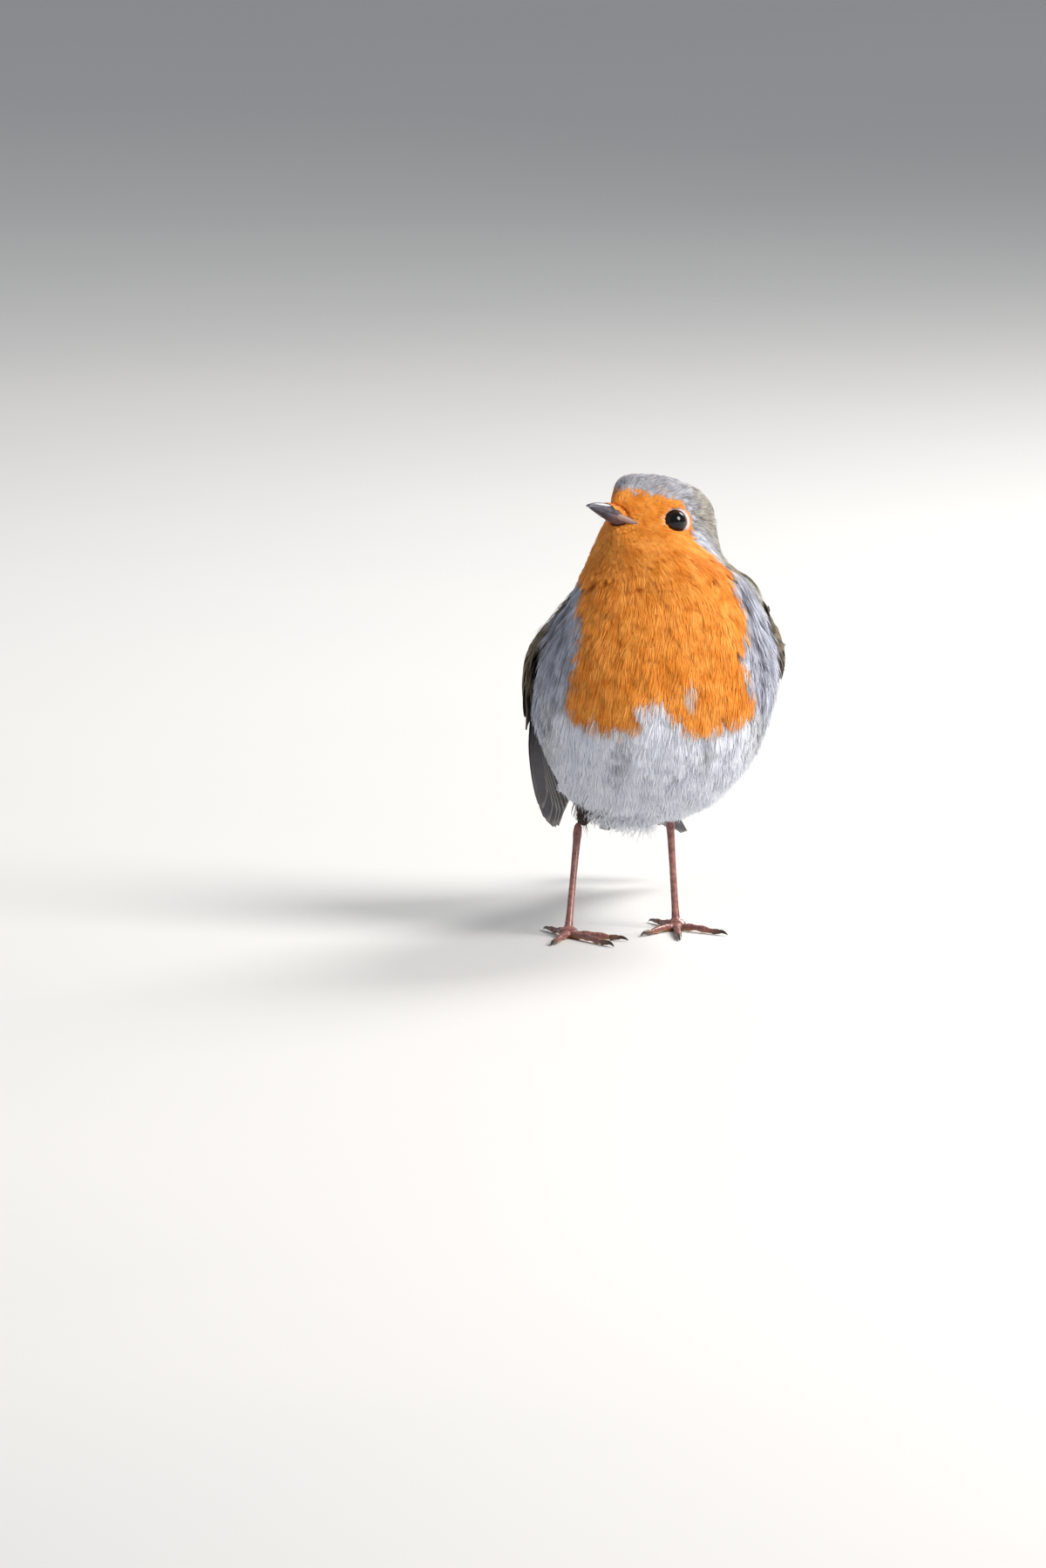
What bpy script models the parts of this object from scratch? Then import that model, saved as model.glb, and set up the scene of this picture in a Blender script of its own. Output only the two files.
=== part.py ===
"""European robin, a still life-size model, standing on both feet with its head turned to its right.

Metres, +Z up, the breast facing -Y and the bird's left at +X. The solids give the outline of the plumage.
Body, neck and head are one loft along a bent spine, parted by thin cuts; wings, tail, legs, toes, bill and
eyes are solids of their own, a fine gap apart.
"""

import math

import bmesh
import bpy
import numpy as np
from mathutils import Matrix, Vector
from mathutils.bvhtree import BVHTree

MM = 0.001
GAP = 0.3  # millimetres between neighbouring solids; every size below is in millimetres too

# Trunk: one row for each section from the tail root up to the throat, as
# (sideways, depth, height, facing angle, tilt, half width, ventral reach, dorsal reach)
TRUNK_SECTIONS = (
    (-5.6, 50.0, 38.0, 5.0, 76, 6.2, 3.8, 3.2),
    (-5.5, 44.0, 39.0, 5.0, 74, 10.5, 8.6, 6.8),
    (-5.2, 35.0, 41.5, 5.0, 69, 16.0, 14.6, 12.2),
    (-4.4, 25.0, 45.0, 5.0, 63, 22.0, 21.4, 18.2),
    (-3.2, 14.5, 49.5, 4.0, 55, 26.4, 27.4, 23.0),
    (-1.4, 5.0, 56.0, 3.0, 43, 28.5, 30.2, 26.5),
    (-0.2, -1.0, 63.5, 3.0, 30, 28.4, 30.2, 27.6),
    (0.4, -3.5, 70.5, 2.0, 18, 25.7, 28.0, 26.2),
    (1.2, -4.2, 77.0, 0.0, 8, 23.3, 24.2, 23.6),
    (1.6, -4.4, 82.3, -6.0, 0, 21.4, 20.4, 20.8),
    (1.7, -4.6, 87.4, -20.0, -8, 18.9, 17.0, 19.2),
)

# Head: sections square to its own up axis, as (height over the eyes, shift of the nape to the left,
# half width, forehead, nape, pinch). Pinch narrows a section towards the bill.
HEAD_AT = Vector((-2.2, -6.0, 100.2))  # midway between the eyes
HEAD_FACING = -44.0
HEAD_PITCH = 18.0
HEAD_SECTIONS = (
    (-4.6, 2.6, 17.2, 11.0, 19.4, 0.56),
    (-1.5, 1.8, 15.2, 12.8, 19.2, 0.68),
    (1.4, 1.0, 13.9, 12.8, 18.8, 0.63),
    (4.4, 0.6, 12.6, 11.0, 18.0, 0.44),
    (7.2, 0.4, 11.1, 8.6, 16.8, 0.20),
    (9.4, 0.0, 8.6, 5.6, 13.8, 0.0),
    (10.6, 0.0, 5.2, 1.8, 10.4, 0.0),
)
CROWN_TOP = 11.0
CROWN_TOP_BACK = 4.6
RINGS = 40
RING_POINTS = 34
SECTION_SQUARENESS = 2.15

# Where the thin cuts part the loft, as shares of its length from tail root to crown
PARTS = ("rump", "belly", "breast", "neck", "head")
CUTS = (0.16, 0.315, 0.485, 0.618)

EYE_RADIUS = 3.15
EYE_PLACE = (-0.3, 8.5, 0.0)  # forward, sideways and up from midway between the eyes
BILL_TIP = 21.2  # ahead of the point midway between the eyes
BILL_ROOT = 6.0  # inside the head, behind the corner of the mouth
BILL_HALF_WIDTH = 3.28
BILL_DEPTHS = {"upper": 2.47, "lower": 1.87}
BILL_TIP_RADIUS = 0.3
LOWER_SHORTER = 0.7
MOUTH_LINE = (-2.05, -1.5)  # height of the line between the mandibles, at its root and its tip

TAIL_ROOT = Vector((-4.9, 47.0, 38.0))
TAIL_LENGTH = 56.0
TAIL_SLOPE = 26.0
TAIL_SWING = -2.5
TAIL_HALF_WIDTH = (5.0, 11.6)
TAIL_THICKNESS = (2.2, 0.9)
TAIL_NOTCH = 2.6
TAIL_CORNER = 5.0  # how much shorter the outermost vane edges are
TAIL_ARCH = 2.2

WING_LENGTH = 72.0
WING_CUT = 0.47  # where the coverts end and the flight feathers begin
# Wing outline: share of the length, lower edge, upper edge
WING_OUTLINE = (
    (0.00, -3.0, 3.5),
    (0.07, -6.6, 9.0),
    (0.20, -9.2, 15.5),
    (0.38, -9.4, 19.5),
    (0.55, -8.2, 18.5),
    (0.68, -7.0, 13.0),
    (0.80, -6.0, 6.5),
    (0.92, -4.9, 4.2),
    (1.00, -2.4, 2.0),
)
WING_THICKNESS = (1.1, 1.9, 0.75)  # at the wrist, over the coverts and at the tip
WING_CROWN = 0.010  # how fast the wing falls away across its width
WING_POSE = {  # bird's side: wrist, wing tip, way its outer face looks at each, clearance, stand-off half-way
    "left": ((24.0, -3.0, 75.5), (12.0, 54.0, 33.5), (0.90, 0.10, 0.42), (0.90, 0.25, 0.35), 2.2, 3.2),
    "right": ((-22.5, 1.0, 75.5), (-23.6, 47.0, 19.0), (-0.92, 0.06, 0.38), (-0.74, 0.50, 0.46), 0.75, 4.8),
}

TOE_RADIUS = 0.86
SOLE_DIP = 0.14  # how far the toes are cut off flat at the floor
HUB_RADIUS = 2.7
HUB_HALF_HEIGHT = 1.45
CLAW_RADIUS = 0.71
TIBIA_RADII = (6.0, 5.4, 4.4, 3.2, 2.2, 1.6)
TARSUS_RADII = (1.45, 0.95, 0.86, 1.15)  # at the ankle, below it, above the foot and at the foot
TOES = {  # length without the claw, claw length
    "inner": (12.0, 3.8),
    "middle": (16.6, 4.6),
    "outer": (12.8, 3.8),
    "hind": (8.8, 6.2),
}
LEGS = {  # bird's side: ankle, foot, tibia top where it shows, toe directions from straight ahead
    "right": ((-17.9, 3.4, 25.6), (-20.8, -7.6, 2.2), (-12.5, 4.5, 38.0),
              {"inner": 62, "middle": 30, "outer": -14, "hind": 203}),
    "left": ((3.4, 12.6, 28.5), (5.0, 6.6, 2.2), None,
             {"inner": -32, "middle": 2, "outer": 46, "hind": 205}),
}


def turn(degrees, axis):
    return Matrix.Rotation(math.radians(degrees), 4, axis)


def smooth_rows(rows, shares):
    """Rows of numbers read at shares of the way along, on one smooth curve through them all."""
    rows = np.array(rows, float)
    at = np.linspace(0, len(rows) - 1, len(rows))
    want = np.array(shares) * (len(rows) - 1)
    slopes = np.gradient(rows, axis=0)
    k = np.clip(want.astype(int), 0, len(rows) - 2)
    t = (want - at[k])[:, None]
    h00, h10 = 2 * t**3 - 3 * t**2 + 1, t**3 - 2 * t**2 + t
    h01, h11 = -2 * t**3 + 3 * t**2, t**3 - t**2
    return h00 * rows[k] + h10 * slopes[k] + h01 * rows[k + 1] + h11 * slopes[k + 1]


# ---------------------------------------------------------------- scene, materials, mesh helpers

for old in list(bpy.data.objects):
    bpy.data.objects.remove(old)
scene = bpy.context.scene
bird = bpy.data.collections.new("robin")
cutters = bpy.data.collections.new("cutters")
scene.collection.children.link(bird)
scene.collection.children.link(cutters)


def material(name, colour, roughness):
    made = bpy.data.materials.new(name)
    made.use_nodes = True
    shader = made.node_tree.nodes["Principled BSDF"]
    shader.inputs["Base Color"].default_value = (*colour, 1)
    shader.inputs["Roughness"].default_value = roughness
    shader.inputs["Metallic"].default_value = 0
    return made


ORANGE = material("orange_plumage", (0.80, 0.27, 0.03), 0.85)
OLIVE = material("olive_plumage", (0.27, 0.22, 0.15), 0.85)
GREY = material("grey_plumage", (0.42, 0.42, 0.45), 0.85)
PALE = material("pale_plumage", (0.72, 0.71, 0.70), 0.88)
WING_BROWN = material("wing_brown", (0.16, 0.11, 0.07), 0.7)
LEG_BROWN = material("leg_scale", (0.25, 0.12, 0.10), 0.5)
HORN = material("horn", (0.10, 0.08, 0.08), 0.4)
EYE_BLACK = material("eye_black", (0.01, 0.008, 0.006), 0.08)


def mesh_object(name, shell, finish, hidden=False):
    """One named object from a bmesh, whose sizes are in millimetres."""
    bmesh.ops.scale(shell, vec=(MM, MM, MM), verts=shell.verts)
    bmesh.ops.recalc_face_normals(shell, faces=shell.faces)
    mesh = bpy.data.meshes.new(name)
    shell.to_mesh(mesh)
    shell.free()
    made = bpy.data.objects.new(name, mesh)
    mesh.materials.append(finish)
    mesh.shade_smooth()
    mesh.set_sharp_from_angle(angle=math.radians(40))
    (cutters if hidden else bird).objects.link(made)
    made.hide_render = hidden
    if hidden:
        made.display_type = "WIRE"
    return made


def loft(rings):
    """A bmesh skinned over rings of points, each end closed by a fan to its middle."""
    shell = bmesh.new()
    rows = [[shell.verts.new(p) for p in ring] for ring in rings]
    for low, high in zip(rows, rows[1:]):
        for i in range(len(low)):
            j = (i + 1) % len(low)
            shell.faces.new((low[i], low[j], high[j], high[i]))
    for row in (rows[0], rows[-1]):
        middle = shell.verts.new(sum((v.co for v in row), Vector()) / len(row))
        for i in range(len(row)):
            shell.faces.new((row[i], row[(i + 1) % len(row)], middle))
    return shell


def boolean(made, cutter):
    change = made.modifiers.new(f"less_{cutter.name}", "BOOLEAN")
    change.operation = "DIFFERENCE"
    change.use_self = True
    change.object = cutter


def tube_rings(points, radii, sides):
    """Rings round a path of points, each square to the path there."""
    side = Vector((1, 0, 0))
    turns = [2 * math.pi * i / sides for i in range(sides)]
    rings = []
    for k, (at, radius) in enumerate(zip(points, radii)):
        way = (points[min(k + 1, len(points) - 1)] - points[max(k - 1, 0)]).normalized()
        across = (side - way * side.dot(way)).normalized()
        up = way.cross(across)
        rings.append([at + float(radius) * (across * math.cos(a) + up * math.sin(a)) for a in turns])
    return rings


# ---------------------------------------------------------------- body, neck and head in one loft


def section_frame(facing, tilt):
    """Forward, leftward and normal directions of a section that faces `facing` and leans by `tilt`."""
    a, t = math.radians(facing), math.radians(tilt)
    ahead = Vector((math.sin(a), -math.cos(a), 0))
    left = Vector((math.cos(a), math.sin(a), 0))
    forward = ahead * math.cos(t) - Vector((0, 0, math.sin(t)))
    normal = ahead * math.sin(t) + Vector((0, 0, math.cos(t)))
    return forward, left, normal


FORWARD, LEFT, UP = section_frame(HEAD_FACING, -HEAD_PITCH)


def head_point(forward, left, up):
    return HEAD_AT + FORWARD * forward + LEFT * left + UP * up


def spine_rows():
    """The sections of trunk and head in one table: middle, facing, tilt, sizes, pinch, shift of the back."""
    rows = []
    for section in TRUNK_SECTIONS:
        rows.append((*section, 0.0, 0.0))
    for up, shift, *sizes in HEAD_SECTIONS:
        rows.append((*head_point(0, 0, up), HEAD_FACING, -HEAD_PITCH, *sizes, shift))
    return rows


SPINE = spine_rows()


def body_ring(row, inflate):
    x, y, z, facing, tilt, width, front, back, pinch, shift = row
    forward, left, _ = section_frame(facing, tilt)
    ring = []
    for i in range(RING_POINTS):
        a = 2 * math.pi * i / RING_POINTS
        c, s = math.cos(a), math.sin(a)
        power = SECTION_SQUARENESS - pinch * max(c, 0)
        reach = (abs(c) ** power + abs(s) ** power) ** (-1 / power)
        along = c * reach * ((front if c > 0 else back) + inflate)
        narrowed = 1 - pinch * (0.5 + 0.5 * c) ** 1.3
        aside = s * reach * narrowed * (width + inflate) + shift * (0.5 - 0.5 * c) ** 3
        ring.append(Vector((x, y, z)) + forward * along + left * aside)
    return ring


def body_shell(inflate=0.0):
    shares = np.linspace(0, 1, RINGS)
    rings = [body_ring(row, inflate) for row in smooth_rows(SPINE, shares)]
    shell = loft(rings)
    top = max(shell.verts, key=lambda v: v.co.z if len(v.link_edges) == RING_POINTS else 0)
    top.co = head_point(-CROWN_TOP_BACK, 0, CROWN_TOP + inflate)
    return shell


def cut_plane(share):
    """A point and the upward normal of the section at a share of the spine."""
    x, y, z, facing, tilt = smooth_rows(SPINE, [share])[0][:5]
    return Vector((x, y, z)), section_frame(facing, tilt)[2]


def body_part(name, low, high, finish):
    """The stretch of the loft between two cuts, closed flat at each."""
    shell = body_shell()
    for share, keep_above in ((low, True), (high, False)):
        if share is None:
            continue
        at, normal = cut_plane(share)
        at += normal * (GAP / 2 if keep_above else -GAP / 2)
        found = bmesh.ops.bisect_plane(
            shell, geom=shell.verts[:] + shell.edges[:] + shell.faces[:], dist=1e-5,
            plane_co=at, plane_no=normal, clear_inner=keep_above, clear_outer=not keep_above,
        )
        edges = [e for e in found["geom_cut"] if isinstance(e, bmesh.types.BMEdge)]
        bmesh.ops.edgeloop_fill(shell, edges=edges)
    return mesh_object(name, shell, finish)


body = {}
finishes = {"rump": OLIVE, "belly": PALE, "breast": ORANGE, "neck": ORANGE, "head": ORANGE}
for k, name in enumerate(PARTS):
    low = CUTS[k - 1] if k else None
    high = CUTS[k] if k < len(CUTS) else None
    body[name] = body_part(name, low, high, finishes[name])

# ---------------------------------------------------------------- eyes, each in its socket



def ball_at(centre, radius, fineness):
    ball = bmesh.new()
    bmesh.ops.create_icosphere(ball, subdivisions=fineness, radius=radius)
    bmesh.ops.translate(ball, verts=ball.verts, vec=centre)
    return ball


for side, sign in (("left", 1), ("right", -1)):
    ahead, sideways, up = EYE_PLACE
    centre = head_point(ahead, sign * sideways, up)
    mesh_object(f"eye_{side}", ball_at(centre, EYE_RADIUS, 3), EYE_BLACK)
    orbit = mesh_object(f"orbit_{side}", ball_at(centre, EYE_RADIUS + 1.3 * GAP, 2), EYE_BLACK, hidden=True)
    boolean(body["head"], orbit)

# ---------------------------------------------------------------- bill


def mandible(half, swell):
    """One half of the bill as a loft from root to tip: flat where the halves meet, domed outside."""
    sign = 1 if half == "upper" else -1
    tip = BILL_TIP if half == "upper" else BILL_TIP - LOWER_SHORTER
    rings = []
    for share in np.linspace(0, 1, 9):
        ahead = BILL_ROOT + (tip - BILL_ROOT) * share
        wide = BILL_TIP_RADIUS + (BILL_HALF_WIDTH - BILL_TIP_RADIUS) * (1 - share) ** 0.75 + swell
        deep = BILL_TIP_RADIUS + (BILL_DEPTHS[half] - BILL_TIP_RADIUS) * (1 - share**1.6) + swell
        meet = MOUTH_LINE[0] + (MOUTH_LINE[1] - MOUTH_LINE[0]) * share + sign * GAP / 2
        if half == "upper":
            meet -= GAP * max(share - 0.85, 0) / 0.15  # the tip hooks down past the lower half
        turns = [math.pi * i / 8 for i in range(9)]
        ring = [head_point(ahead, wide * math.cos(a), meet + sign * deep * math.sin(a)) for a in turns]
        flat = meet - sign * (0.02 + swell)
        ring += [head_point(ahead, wide * across, flat) for across in (-0.96, 0, 0.96)]
        rings.append(ring)
    return loft(rings)


for half in BILL_DEPTHS:
    mesh_object(f"bill_{half}", mandible(half, 0), HORN)
    boolean(body["head"], mesh_object(f"bill_seat_{half}", mandible(half, GAP), HORN, hidden=True))

# ---------------------------------------------------------------- tail, slightly spread


def tail_shell():
    """A flat fan on a grid, notched at its tip and arched across, thickest at its root."""
    shell = bmesh.new()
    way = (turn(TAIL_SWING, "Z") @ turn(-TAIL_SLOPE, "X")).to_3x3()
    rows = []
    long_steps, cross_steps = 8, 10
    for face in (1, -1):
        grid = []
        for i in range(long_steps + 1):
            u = i / long_steps
            half = TAIL_HALF_WIDTH[0] + (TAIL_HALF_WIDTH[1] - TAIL_HALF_WIDTH[0]) * u**1.15
            thick = TAIL_THICKNESS[0] + (TAIL_THICKNESS[1] - TAIL_THICKNESS[0]) * u
            line = []
            for j in range(cross_steps + 1):
                w = 2 * j / cross_steps - 1
                length = TAIL_LENGTH - TAIL_NOTCH * (1 - abs(w)) - TAIL_CORNER * max(abs(w) - 0.86, 0) / 0.14
                edge = 1 - 0.62 * w**4
                arch = -TAIL_ARCH * w**2 * u
                at = Vector((w * half, length * u, arch + face * thick / 2 * edge))
                line.append(shell.verts.new(TAIL_ROOT + way @ at))
            grid.append(line)
        rows.append(grid)
    top, under = rows
    for grid in rows:
        for a, b in zip(grid, grid[1:]):
            for j in range(cross_steps):
                shell.faces.new((a[j], a[j + 1], b[j + 1], b[j]))
    for j in range(cross_steps):
        for i in (0, -1):
            shell.faces.new((top[i][j], top[i][j + 1], under[i][j + 1], under[i][j]))
    for i in range(long_steps):
        for j in (0, -1):
            shell.faces.new((top[i][j], top[i + 1][j], under[i + 1][j], under[i][j]))
    return shell


tail = mesh_object("tail", tail_shell(), OLIVE)
boolean(tail, mesh_object("rump_clearance", body_shell(GAP), OLIVE, hidden=True))

# ---------------------------------------------------------------- wings


def wing_part(name, side, low, high, finish):
    """A stretch of the folded wing: a sheet laid on the flank, standing clear of the body at its tip."""
    sign = 1 if side == "left" else -1
    wrist, point, faces_at_wrist, faces_at_tip, clear, stand_off = WING_POSE[side]
    along = (Vector(point) - Vector(wrist)).normalized()
    steps, lanes = 13, 8
    at, *outline = zip(*WING_OUTLINE)
    shares = np.linspace(low, high, steps)
    lower, upper = (np.interp(shares, at, edge) for edge in outline)
    heights = np.zeros((steps, lanes))
    plan = []
    for i, share in enumerate(shares):
        out = Vector(faces_at_wrist).lerp(Vector(faces_at_tip), share)
        out = (out - along * out.dot(along)).normalized()
        across = out.cross(along) * sign
        line = []
        for j in range(lanes):
            w = lower[i] + (upper[i] - lower[i]) * j / (lanes - 1)
            flat = Vector(wrist) + along * (share * WING_LENGTH) + across * w
            hit = body_tree.ray_cast(flat + out * WING_LENGTH, -out)[0]
            plane = stand_off * math.sin(math.pi * share**0.9) - WING_CROWN * w * w
            heights[i, j] = max((hit - flat).dot(out) + clear, plane) if hit else plane
            line.append((flat, out, share))
        plan.append(line)
    shell = bmesh.new()
    sheets = []
    for face in (0, 1):
        grid = []
        for i, line in enumerate(plan):
            row = []
            for j, (flat, out, share) in enumerate(line):
                rim = 1 - 0.55 * abs(2 * j / (lanes - 1) - 1) ** 4
                thick = np.interp(share, (0, 0.3, 1), WING_THICKNESS) * rim
                row.append(shell.verts.new(flat + out * float(heights[i, j] + face * thick)))
            grid.append(row)
        sheets.append(grid)
    for grid in sheets:
        for a, b in zip(grid, grid[1:]):
            for j in range(lanes - 1):
                shell.faces.new((a[j], a[j + 1], b[j + 1], b[j]))
    inner, outer = sheets
    for j in range(lanes - 1):
        for i in (0, -1):
            shell.faces.new((inner[i][j], inner[i][j + 1], outer[i][j + 1], outer[i][j]))
    for i in range(steps - 1):
        for j in (0, -1):
            shell.faces.new((inner[i][j], inner[i + 1][j], outer[i + 1][j], outer[i][j]))
    return mesh_object(name, shell, finish)


trunk_copy = body_shell()
body_tree = BVHTree.FromBMesh(trunk_copy)
trunk_copy.free()
for side in WING_POSE:
    half_gap = GAP / 2 / WING_LENGTH
    wing_part(f"wing_{side}", side, 0.0, WING_CUT - half_gap, OLIVE)
    wing_part(f"flight_feathers_{side}", side, WING_CUT + half_gap, 1.0, WING_BROWN)

# ---------------------------------------------------------------- legs, feet and claws


def flat_soled(shell):
    """Cuts off what would lie under the floor, which leaves a small flat."""
    found = bmesh.ops.bisect_plane(
        shell, geom=shell.verts[:] + shell.edges[:] + shell.faces[:], dist=1e-5,
        plane_co=(0, 0, 0), plane_no=(0, 0, 1), clear_inner=True,
    )
    edges = [e for e in found["geom_cut"] if isinstance(e, bmesh.types.BMEdge)]
    if edges:
        bmesh.ops.holes_fill(shell, edges=edges)
    return shell


def hub_shell(foot, swell):
    hub = bmesh.new()
    bmesh.ops.create_icosphere(hub, subdivisions=2, radius=1)
    size = (HUB_RADIUS + swell, HUB_RADIUS + swell, HUB_HALF_HEIGHT + swell)
    bmesh.ops.scale(hub, vec=size, verts=hub.verts)
    bmesh.ops.translate(hub, verts=hub.verts, vec=(foot.x, foot.y, HUB_HALF_HEIGHT - SOLE_DIP))
    return hub


def toe_path(foot, degrees, length, steps=7):
    """Points along a toe: off the hub, slightly arched between its pads and down to its last joint."""
    way = Vector((math.sin(math.radians(degrees)), -math.cos(math.radians(degrees)), 0))
    points = []
    for k in range(steps):
        share = k / (steps - 1)
        lift = 0.22 * math.sin(math.pi * share) ** 2
        reach = HUB_RADIUS * 0.62 + (length - HUB_RADIUS * 0.62) * share
        points.append(Vector((foot.x, foot.y, TOE_RADIUS - SOLE_DIP + lift)) + way * reach)
    return points, way


def leg(side):
    ankle, foot, tibia_top, toe_ways = LEGS[side]
    ankle, foot = Vector(ankle), Vector(foot)
    clearance = mesh_object(f"belly_clearance_{side}", body_shell(GAP), PALE, hidden=True)
    if tibia_top:
        path = [Vector(tibia_top).lerp(ankle, k / 5) for k in range(6)]
        tibia = mesh_object(f"tibia_{side}", loft(tube_rings(path, TIBIA_RADII, 12)), OLIVE)
        boolean(tibia, clearance)
    down = (foot - ankle).normalized()
    start = ankle + down * 0.9
    end = foot + Vector((0, 0, 0.9))
    path = [start.lerp(end, k / 8) for k in range(9)]
    girth = [np.interp(k / 8, (0, 0.16, 0.8, 1), TARSUS_RADII) for k in range(9)]
    shank = mesh_object(f"tarsus_{side}", loft(tube_rings(path, girth, 10)), LEG_BROWN)
    boolean(shank, mesh_object(f"hub_clearance_{side}", hub_shell(foot, GAP), LEG_BROWN, hidden=True))
    boolean(shank, clearance)
    mesh_object(f"foot_{side}", flat_soled(hub_shell(foot, 0)), LEG_BROWN)
    for toe, degrees in toe_ways.items():
        length, claw_length = TOES[toe]
        path, way = toe_path(foot, degrees, length)
        girth = [TOE_RADIUS * np.interp(k / 6, (0, 0.5, 0.9, 1), (0.86, 1.0, 0.95, 0.7)) for k in range(7)]
        made = mesh_object(f"toe_{toe}_{side}", flat_soled(loft(tube_rings(path, girth, 10))), LEG_BROWN)
        boolean(made, mesh_object(f"clear_{toe}_{side}", hub_shell(foot, GAP), LEG_BROWN, hidden=True))
        shares = np.linspace(0, 1, 7)
        rise = [0.55 * math.sin(2.1 * t + 0.4) - 0.2 - 0.62 * t**2 for t in shares]
        arch = [path[-1] + way * (GAP + claw_length * math.sin(math.pi / 2 * t)) + Vector((0, 0, z))
                for t, z in zip(shares, rise)]
        girth = [CLAW_RADIUS * (0.13 + 0.87 * (1 - t) ** 0.7) for t in shares]
        mesh_object(f"claw_{toe}_{side}", flat_soled(loft(tube_rings(arch, girth, 8))), HORN)


for side in LEGS:
    leg(side)

# ---------------------------------------------------------------- origin under the middle of the bird

corners = np.array([v.co for made in bird.objects for v in made.data.vertices])
middle = (corners.min(axis=0) + corners.max(axis=0)) / 2
for made in list(bird.objects) + list(cutters.objects):
    made.data.transform(Matrix.Translation((-middle[0], -middle[1], 0)))
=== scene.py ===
"""A European robin, life size: skin, feathers, bill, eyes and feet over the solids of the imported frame.

Lengths are millimetres unless a name or a comment says otherwise, and MM turns them into metres.
"""

import math

import bpy
import numpy as np
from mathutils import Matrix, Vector
from mathutils.bvhtree import BVHTree


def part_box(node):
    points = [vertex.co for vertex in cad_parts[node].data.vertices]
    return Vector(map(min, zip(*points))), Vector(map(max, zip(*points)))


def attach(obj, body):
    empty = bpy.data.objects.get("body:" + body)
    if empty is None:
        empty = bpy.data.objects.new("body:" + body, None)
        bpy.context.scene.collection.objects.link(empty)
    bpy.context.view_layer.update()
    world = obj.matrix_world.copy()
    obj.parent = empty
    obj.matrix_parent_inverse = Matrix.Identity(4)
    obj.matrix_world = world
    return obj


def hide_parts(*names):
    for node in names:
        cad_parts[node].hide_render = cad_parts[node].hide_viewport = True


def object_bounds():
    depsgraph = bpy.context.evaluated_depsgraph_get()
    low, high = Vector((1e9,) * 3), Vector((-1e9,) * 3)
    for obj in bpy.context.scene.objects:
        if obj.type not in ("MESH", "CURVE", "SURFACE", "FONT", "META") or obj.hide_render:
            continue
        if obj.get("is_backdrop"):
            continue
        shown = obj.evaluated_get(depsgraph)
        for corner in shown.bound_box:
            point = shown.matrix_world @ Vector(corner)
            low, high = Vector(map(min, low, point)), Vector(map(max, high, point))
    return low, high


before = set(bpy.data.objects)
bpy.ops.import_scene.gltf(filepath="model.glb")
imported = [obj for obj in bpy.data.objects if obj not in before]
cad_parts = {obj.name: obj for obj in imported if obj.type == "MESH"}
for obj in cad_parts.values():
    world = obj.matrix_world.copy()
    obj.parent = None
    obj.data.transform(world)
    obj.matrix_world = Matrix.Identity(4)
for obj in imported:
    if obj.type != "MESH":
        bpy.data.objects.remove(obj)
cad_low, cad_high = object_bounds()
MM = 0.001

# ---------------------------------------------------------------- camera, floor and studio light
# The figure stands on a plain pale floor. A long lens looks from in front and a little above. A large soft
# lamp high on the bird's left is the key, a wide one on its right fills, and a strip behind lights the rim.

VIEW_HEIGHT = 0.3746  # metres that the frame takes in from top to bottom at the bird
LENS = 400.0
SENSOR = 36.0
LOOK_DOWN = math.radians(7.0)
AIM = (cad_low.x, -0.028, 0.0353)  # metres; it sets the bird right of the frame's middle and above it

camera_data = bpy.data.cameras.new("camera")
camera_data.lens = LENS
camera_data.sensor_width = SENSOR
camera_data.clip_end = 60
camera = bpy.data.objects.new("camera", camera_data)
bpy.context.scene.collection.objects.link(camera)
distance = VIEW_HEIGHT * LENS / SENSOR
camera.location = (AIM[0], AIM[1] - distance * math.cos(LOOK_DOWN), AIM[2] + distance * math.sin(LOOK_DOWN))
camera.rotation_euler = (math.pi / 2 - LOOK_DOWN, 0, 0)
bpy.context.scene.camera = camera
bpy.context.scene.view_settings.view_transform = "Standard"


def tint(code, gain=1.0):
    """A paint-chart colour such as "e17d19" as linear light."""
    parts = [int(code[i : i + 2], 16) / 255 for i in (0, 2, 4)]
    return tuple(gain * (c / 12.92 if c <= 0.04045 else ((c + 0.055) / 1.055) ** 2.4) for c in parts) + (1.0,)


class Value:
    """A socket of numbers, so that shader maths is written as arithmetic."""

    def __init__(self, finish, socket):
        self.finish, self.socket = finish, socket

    def maths(self, operation, *values):
        return self.finish.node("Math", {"operation": operation}, *values)

    def __add__(self, other):
        return self.maths("ADD", self, other)

    def __radd__(self, other):
        return self.maths("ADD", other, self)

    def __sub__(self, other):
        return self.maths("SUBTRACT", self, other)

    def __rsub__(self, other):
        return self.maths("SUBTRACT", other, self)

    def __mul__(self, other):
        return self.maths("MULTIPLY", self, other)

    def __rmul__(self, other):
        return self.maths("MULTIPLY", other, self)

    def sine(self):
        return self.maths("SINE", self)

    def held(self, low, high, to_low=0.0, to_high=1.0):
        """Mapped smoothly from low..high to to_low..to_high, and held there."""
        smooth = {"interpolation_type": "SMOOTHSTEP"}
        return self.finish.node("MapRange", smooth, self, low, high, to_low, to_high)


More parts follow.
